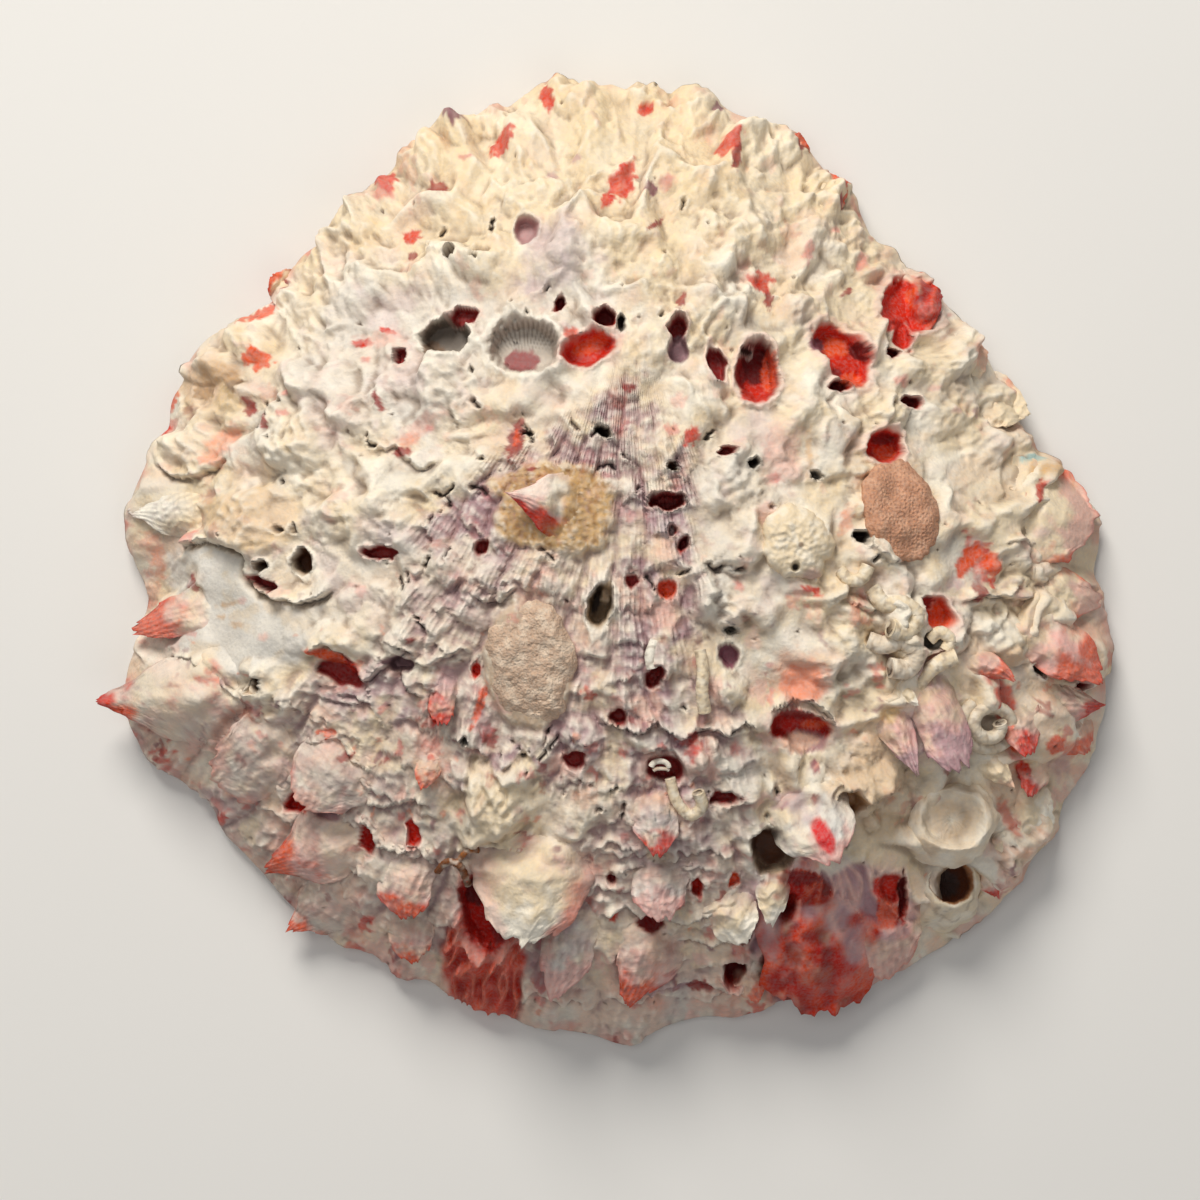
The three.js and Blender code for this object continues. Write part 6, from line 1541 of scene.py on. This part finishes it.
dress(joined('tube_straight', [
    worm_tube([(700, 650), (703, 670), (702, 692), (705, 712)], [1.0, 1.6, 1.6, 1.3], 0.95, True, CREAM, BROWN_DARK, 7, n=60),
    worm_tube([(670, 778), (676, 800), (690, 815), (702, 806), (698, 792)], [0.6, 1.2, 1.6, 1.8, 2.0], 0.9, True, CREAM, BROWN_DARK, 8, n=70),
    worm_tube([(655, 640), (650, 655), (652, 668)], [0.7, 1.1, 1.1], 0.8, False, PAINT['white'], BROWN_DARK, 9, n=30)]),
      TUBE, 'tube_lime', 'worm_tube_straight')
dress(joined('tube_brown', [
    worm_tube([(437, 872), (447, 862), (460, 866), (468, 884)], [0.6, 2.0, 2.4, 0.4], 0.55, False, srgb(120, 70, 36), BROWN_DARK, 10, n=50, rings=0.3),
    worm_tube([(455, 866), (466, 852), (478, 850)], [1.6, 2.2, 0.6], 0.45, False, srgb(150, 92, 48), BROWN_DARK, 11, n=40, rings=0.3)]),
      TUBE_BROWN, 'tube_brown', 'worm_tube_brown')
dress(joined('ring_shell_white', [
    worm_tube([(660 + 9 * math.cos(t), 768 - 7 * math.sin(t)) for t in np.linspace(0.1, 2.9, 12)], [0.9] * 12, 0.44, False, srgb(232, 222, 206), BROWN_DARK, 12, n=50, sides=12),
    worm_tube([(661 + 8 * math.cos(t), 771 - 2.5 * math.sin(t)) for t in np.linspace(0.2, 2.9, 8)], [0.9] * 8, 0.30, False, srgb(206, 184, 164), BROWN_DARK, 13, n=30, sides=10)]),
      CUP, 'cup_shell', 'ring_shell')


def lathe(profile, where, lean, colour, sides=84, flute=0.05, flutes=9, seed=0, stretch=(1, 1), square=0.0, ragged=0.0):
    """A closed turned body: profile of (radius, height) in mm from the foot's middle outside to the bowl's middle."""
    prof = np.array(profile, float)
    n = len(prof)
    a = np.linspace(0, TAU, sides, endpoint=False)
    hfrac = (prof[:, 1] - prof[:, 1].min()) / max(np.ptp(prof[:, 1]), 1e-6)
    wob = 1 + flute * np.cos(flutes * a)[None, :] * smooth(1.0, 0.4, hfrac)[:, None] + 0.05 * noise(np.cos(a)[None, :] * 2.2 + prof[:, 1:2] * 0.4, np.sin(a)[None, :] * 2.2 + np.arange(n)[:, None] * 0.05, 1.0, seed)
    wob = wob + ragged * (noise(np.cos(a) * 2.6, np.sin(a) * 2.6, 1.0, seed + 7) + 0.5 * noise(np.cos(a) * 6, np.sin(a) * 6, 1.0, seed + 8))[None, :] * smooth(0.9, 0.2, hfrac)[:, None]
    grit = 0.10 * noise(np.cos(a)[None, :] * 9 + prof[:, 1:2], np.sin(a)[None, :] * 9 + prof[:, :1], 1.0, seed + 1)
    R = prof[:, :1] * wob * (1 + square * (np.abs(np.cos(2 * a + 0.5))[None, :] ** 1.5 * -1 + 0.5)) + grit * (prof[:, :1] > 0.3)
    V = np.stack([R * np.cos(a) * stretch[0], R * np.sin(a) * stretch[1], np.repeat(prof[:, 1:2], sides, 1) + 0.08 * noise(np.cos(a) * 5, np.sin(a) * 5 + prof[:, :1], 1.0, seed + 2)], -1)
    tilt, toward = lean
    ct, st = math.cos(tilt), math.sin(tilt)
    ux, uy = math.cos(toward), math.sin(toward)
    along = V[..., 0] * ux + V[..., 1] * uy
    side = -V[..., 0] * uy + V[..., 1] * ux
    al2 = along * ct + V[..., 2] * st
    z2 = -along * st + V[..., 2] * ct
    W = np.stack([al2 * ux - side * uy, al2 * uy + side * ux, z2], -1) + np.array(where)
    ids = np.arange(n * sides).reshape(n, sides)
    nxt = np.roll(ids, -1, axis=1)
    q4 = np.stack([ids[:-1], nxt[:-1], nxt[1:], ids[1:]], -1).reshape(-1, 4)
    c0, c1 = n * sides, n * sides + 1
    f = np.concatenate([q4[:, [0, 1, 2]], q4[:, [0, 2, 3]], np.stack([np.full(sides, c0), nxt[0], ids[0]], -1), np.stack([np.full(sides, c1), ids[-1], nxt[-1]], -1)])
    v = np.concatenate([W.reshape(-1, 3), W[0].mean(0)[None], W[-1].mean(0)[None]])
    col = colour(np.repeat(np.arange(n), sides) / (n - 1), np.tile(a, n), W.reshape(-1, 3))
    col = np.concatenate([col, col[:1], col[-1:]])
    vol = np.einsum('ij,ij->i', v[f[:, 0]] - v.mean(0), np.cross(v[f[:, 1]] - v.mean(0), v[f[:, 2]] - v.mean(0))).sum()
    return v, (f if vol > 0 else f[:, ::-1]), col


def curve_profile(points, n):
    return spline(points, n)[:, :2]


def barnacle_tint(s, a, w):
    c = np.zeros((len(s), 3)) + srgb(222, 206, 180)
    c = mix(c, PAINT['white'], 0.5 * smooth(-0.2, 0.4, noise(w[:, 0], w[:, 1], 2.2, 2101)))
    c = mix(c, PAINT['shade'], 0.35 * smooth(0.2, 0.6, noise(w[:, 0], w[:, 2], 1.1, 2102)))
    # inside the mouth, tan to near black deeper down: painted shade
    c = mix(c, srgb(170, 120, 84), smooth(0.60, 0.66, s))
    c = mix(c, srgb(92, 50, 32), smooth(0.68, 0.78, s))
    return mix(c, srgb(44, 24, 18), smooth(0.85, 0.95, s))


bx, by = from_chart(np.array([943.0]), np.array([897.0]), 4.0)
bz = 3.4
dress(joined('barnacle_round_body', [lathe(curve_profile([(0.4, 0, 0), (6.2, 0, 0), (6.3, 1.5, 0), (5.8, 3.5, 0), (5.1, 5.6, 0), (4.5, 7.2, 0), (4.0, 8.3, 0), (3.6, 8.6, 0), (3.2, 8.2, 0), (3.0, 7.0, 0), (2.7, 5.6, 0), (2.0, 4.6, 0), (0.3, 4.3, 0)], 64),
                                           (bx[0] + 0.1, by[0] + 0.5, bz + 0.6), (0.26, math.atan2(3.2, 2.6)), barnacle_tint, seed=21)]),
      BARNACLE, 'barnacle', 'barnacle_round')


def cup_tint(s, a, w):
    c = np.zeros((len(s), 3)) + srgb(228, 212, 188)
    c = mix(c, PAINT['white'], 0.6 * smooth(-0.2, 0.4, noise(w[:, 0], w[:, 1], 2.4, 2111)))
    # tan on the bowl's inner wall: painted shade
    c = mix(c, srgb(206, 180, 150), 0.65 * smooth(0.60, 0.78, s) * smooth(1.02, 0.88, s))
    c = mix(c, srgb(200, 172, 140), 0.4 * smooth(0.1, 0.5, noise(w[:, 0], w[:, 1], 3.4, 2113)) * (s < 0.5))
    return mix(c, PAINT['shade'], 0.18 * smooth(0.1, 0.6, noise(w[:, 0], w[:, 1], 2.6, 2112)))


jx, jy = from_chart(np.array([950.0]), np.array([822.0]), 3.0)
jz = float(dome(jx, jy)[0])
dress(joined('jewel_box_valve', [lathe(curve_profile([(0.4, -1.6, 0), (7.2, -1.6, 0), (7.7, -0.6, 0), (7.2, 0.8, 0), (6.5, 2.2, 0), (5.9, 3.4, 0), (5.4, 4.2, 0), (4.9, 4.4, 0), (4.4, 4.0, 0), (3.9, 3.3, 0), (3.2, 2.9, 0), (2.4, 2.9, 0), (1.6, 3.1, 0), (0.9, 3.0, 0), (0.3, 2.7, 0)], 90),
                                       (jx[0], jy[0], jz - 0.3), (0.14, math.radians(40)), cup_tint, seed=31, flute=0.035, flutes=7, stretch=(1.0, 0.88), square=0.06, ragged=0.10)]),
      CUP, 'cup_shell', 'jewel_box_shell')


def lump_tint(seed, a, b, c3=None, share=0.5):
    def f(p, q, r):
        c = np.zeros(np.shape(p) + (3,)) + a
        c = mix(c, b, share * smooth(-0.1, 0.4, fbm(p, q, 14, seed, 3)))
        if c3 is not None:
            g1, g2, w = cells(p, q, 4.4, seed + 1)
            c = mix(c, c3, 0.6 * smooth(0.42, 0.16, g1))
        return c
    return f


def dome_colour(p, q, r):
    c = lump_tint(2201, PAINT['cream'], PAINT['white'])(p, q, r)
    c = mix(c, PAINT['pinkgrey'], 0.6 * smooth(14, 6, np.hypot(p - 812, q - 578)))
    # near black in the opening and dark dots at small pits: painted shade
    c = mix(c, srgb(36, 24, 20), smooth(5, 2, np.hypot(p - 795, q - 567)))
    for x, y in ((762, 520), (770, 507), (785, 500), (800, 545)):
        c = mix(c, PAINT['shade'], 0.8 * smooth(4, 1.5, np.hypot(p - x, q - y)))
    return c


dress(joined('barnacle_dome_body', [patch(797, 543, 36, 38, 10, 2.6, lambda p, q, r: 0.5 * fbm(p, q, 22, 2210, 3) - 1.2 * smooth(6, 2, np.hypot(p - 795, q - 567)) - 0.6 * smooth(4, 1.5, np.hypot(p - 762, q - 520)) + 0.15 * noise(p, q, 5, 2211),
                                            dome_colour, 2220)]), BARNACLE, 'barnacle', 'barnacle_dome')
def honey(p, q, r):
    g1, g2, w = cells(p, q, 4.0, 2231)
    return 0.10 * smooth(0.15, 0.5, g1) + 1.3 * fbm(p, q, 40, 2232, 2)
dress(joined('crust_honeycomb', [patch(902, 510, 36, 54, 18, 1.9, honey, lump_tint(2230, srgb(196, 148, 120), srgb(212, 170, 142), srgb(166, 120, 98), 0.6), 2240, nr=80, na=200)]), CRUST_TAN, 'crust_tan', 'moss_animal_crust')
def grains(p, q, r):
    g1, g2, w = cells(p + 3 * noise(p, q, 8, 2253), q + 3 * noise(p, q, 8, 2254), 7.0, 2251)
    return 0.32 * np.sqrt(np.clip(1 - 1.5 * g1 ** 2, 0, 1)) * (0.4 + 0.6 * w) + 0.75 * fbm(p, q, 34, 2252, 2) + 0.10 * fbm(p, q, 7, 2255, 2)
dress(joined('crust_oval', [patch(531, 664, 43, 62, 6, 1.5, grains, lump_tint(2250, srgb(198, 170, 147), srgb(226, 206, 184), srgb(208, 186, 164), 0.8), 2260, nr=84, na=230)]), CRUST_BEIGE, 'crust_beige', 'grainy_oval_crust')


# ---------------------------------------------------------------- setting
def plain(name, colour, rough=0.9):
    mat = bpy.data.materials.new(name)
    mat.use_nodes = True
    nt = mat.node_tree
    bsdf = nt.nodes['Principled BSDF']
    n = nt.nodes.new('ShaderNodeTexNoise')
    n.inputs['Scale'].default_value = 3.0
    ramp = nt.nodes.new('ShaderNodeMapRange')
    ramp.inputs['To Min'].default_value, ramp.inputs['To Max'].default_value = 0.97, 1.0
    nt.links.new(n.outputs['Fac'], ramp.inputs['Value'])
    hsv = nt.nodes.new('ShaderNodeHueSaturation')
    hsv.inputs['Color'].default_value = (*colour, 1)
    nt.links.new(ramp.outputs['Result'], hsv.inputs['Value'])
    nt.links.new(hsv.outputs['Color'], bsdf.inputs['Base Color'])
    bsdf.inputs['Roughness'].default_value = rough
    bsdf.inputs['Specular IOR Level'].default_value = 0.1
    return mat


floor_me = bpy.data.meshes.new('floor')
half = 3.0
floor_me.from_pydata([(-half, -half, -0.0006), (half, -half, -0.0006), (half, half, -0.0006), (-half, half, -0.0006)], [], [(0, 1, 2, 3)])
floor = bpy.data.objects.new('floor', floor_me)
bpy.context.scene.collection.objects.link(floor)
floor.data.materials.append(plain('floor_paper', srgb(226, 224, 220)))


def area(name, where, aim, size, power, colour):
    light = bpy.data.lights.new(name, 'AREA')
    light.shape = 'DISK'
    light.size = size
    light.energy = power
    light.color = colour
    ob = bpy.data.objects.new(name, light)
    bpy.context.scene.collection.objects.link(ob)
    ob.location = where
    d = np.array(aim, float) - np.array(where, float)
    from mathutils import Vector
    ob.rotation_euler = Vector(d).to_track_quat('-Z', 'Y').to_euler()
    return ob


area('key', (-0.18, 0.62, 0.62), (0, 0, 0.02), 0.42, 7.9, (1.0, 0.965, 0.91))
area('fill', (0.35, -0.55, 0.75), (0, 0, 0.02), 0.7, 1.1, (0.95, 0.97, 1.0))
area('top', (-0.2, 0.1, 0.95), (0, 0, 0.02), 0.5, 1.4, (1.0, 0.98, 0.95))
world = bpy.data.worlds.new('studio')
bpy.context.scene.world = world
world.use_nodes = True
bg = world.node_tree.nodes['Background']
bg.inputs['Color'].default_value = (0.95, 0.97, 1.0, 1)
bg.inputs['Strength'].default_value = 0.18

cam_data = bpy.data.cameras.new('camera')
cam = bpy.data.objects.new('camera', cam_data)
bpy.context.scene.collection.objects.link(cam)
cam.location = (-OX * MM, -OY * MM, EYE * MM)
cam.rotation_euler = (0, 0, 0)
cam_data.lens = 100
cam_data.sensor_width = 36
cam_data.clip_start = 0.01
bpy.context.scene.camera = cam
bpy.context.scene.view_settings.view_transform = 'Standard'
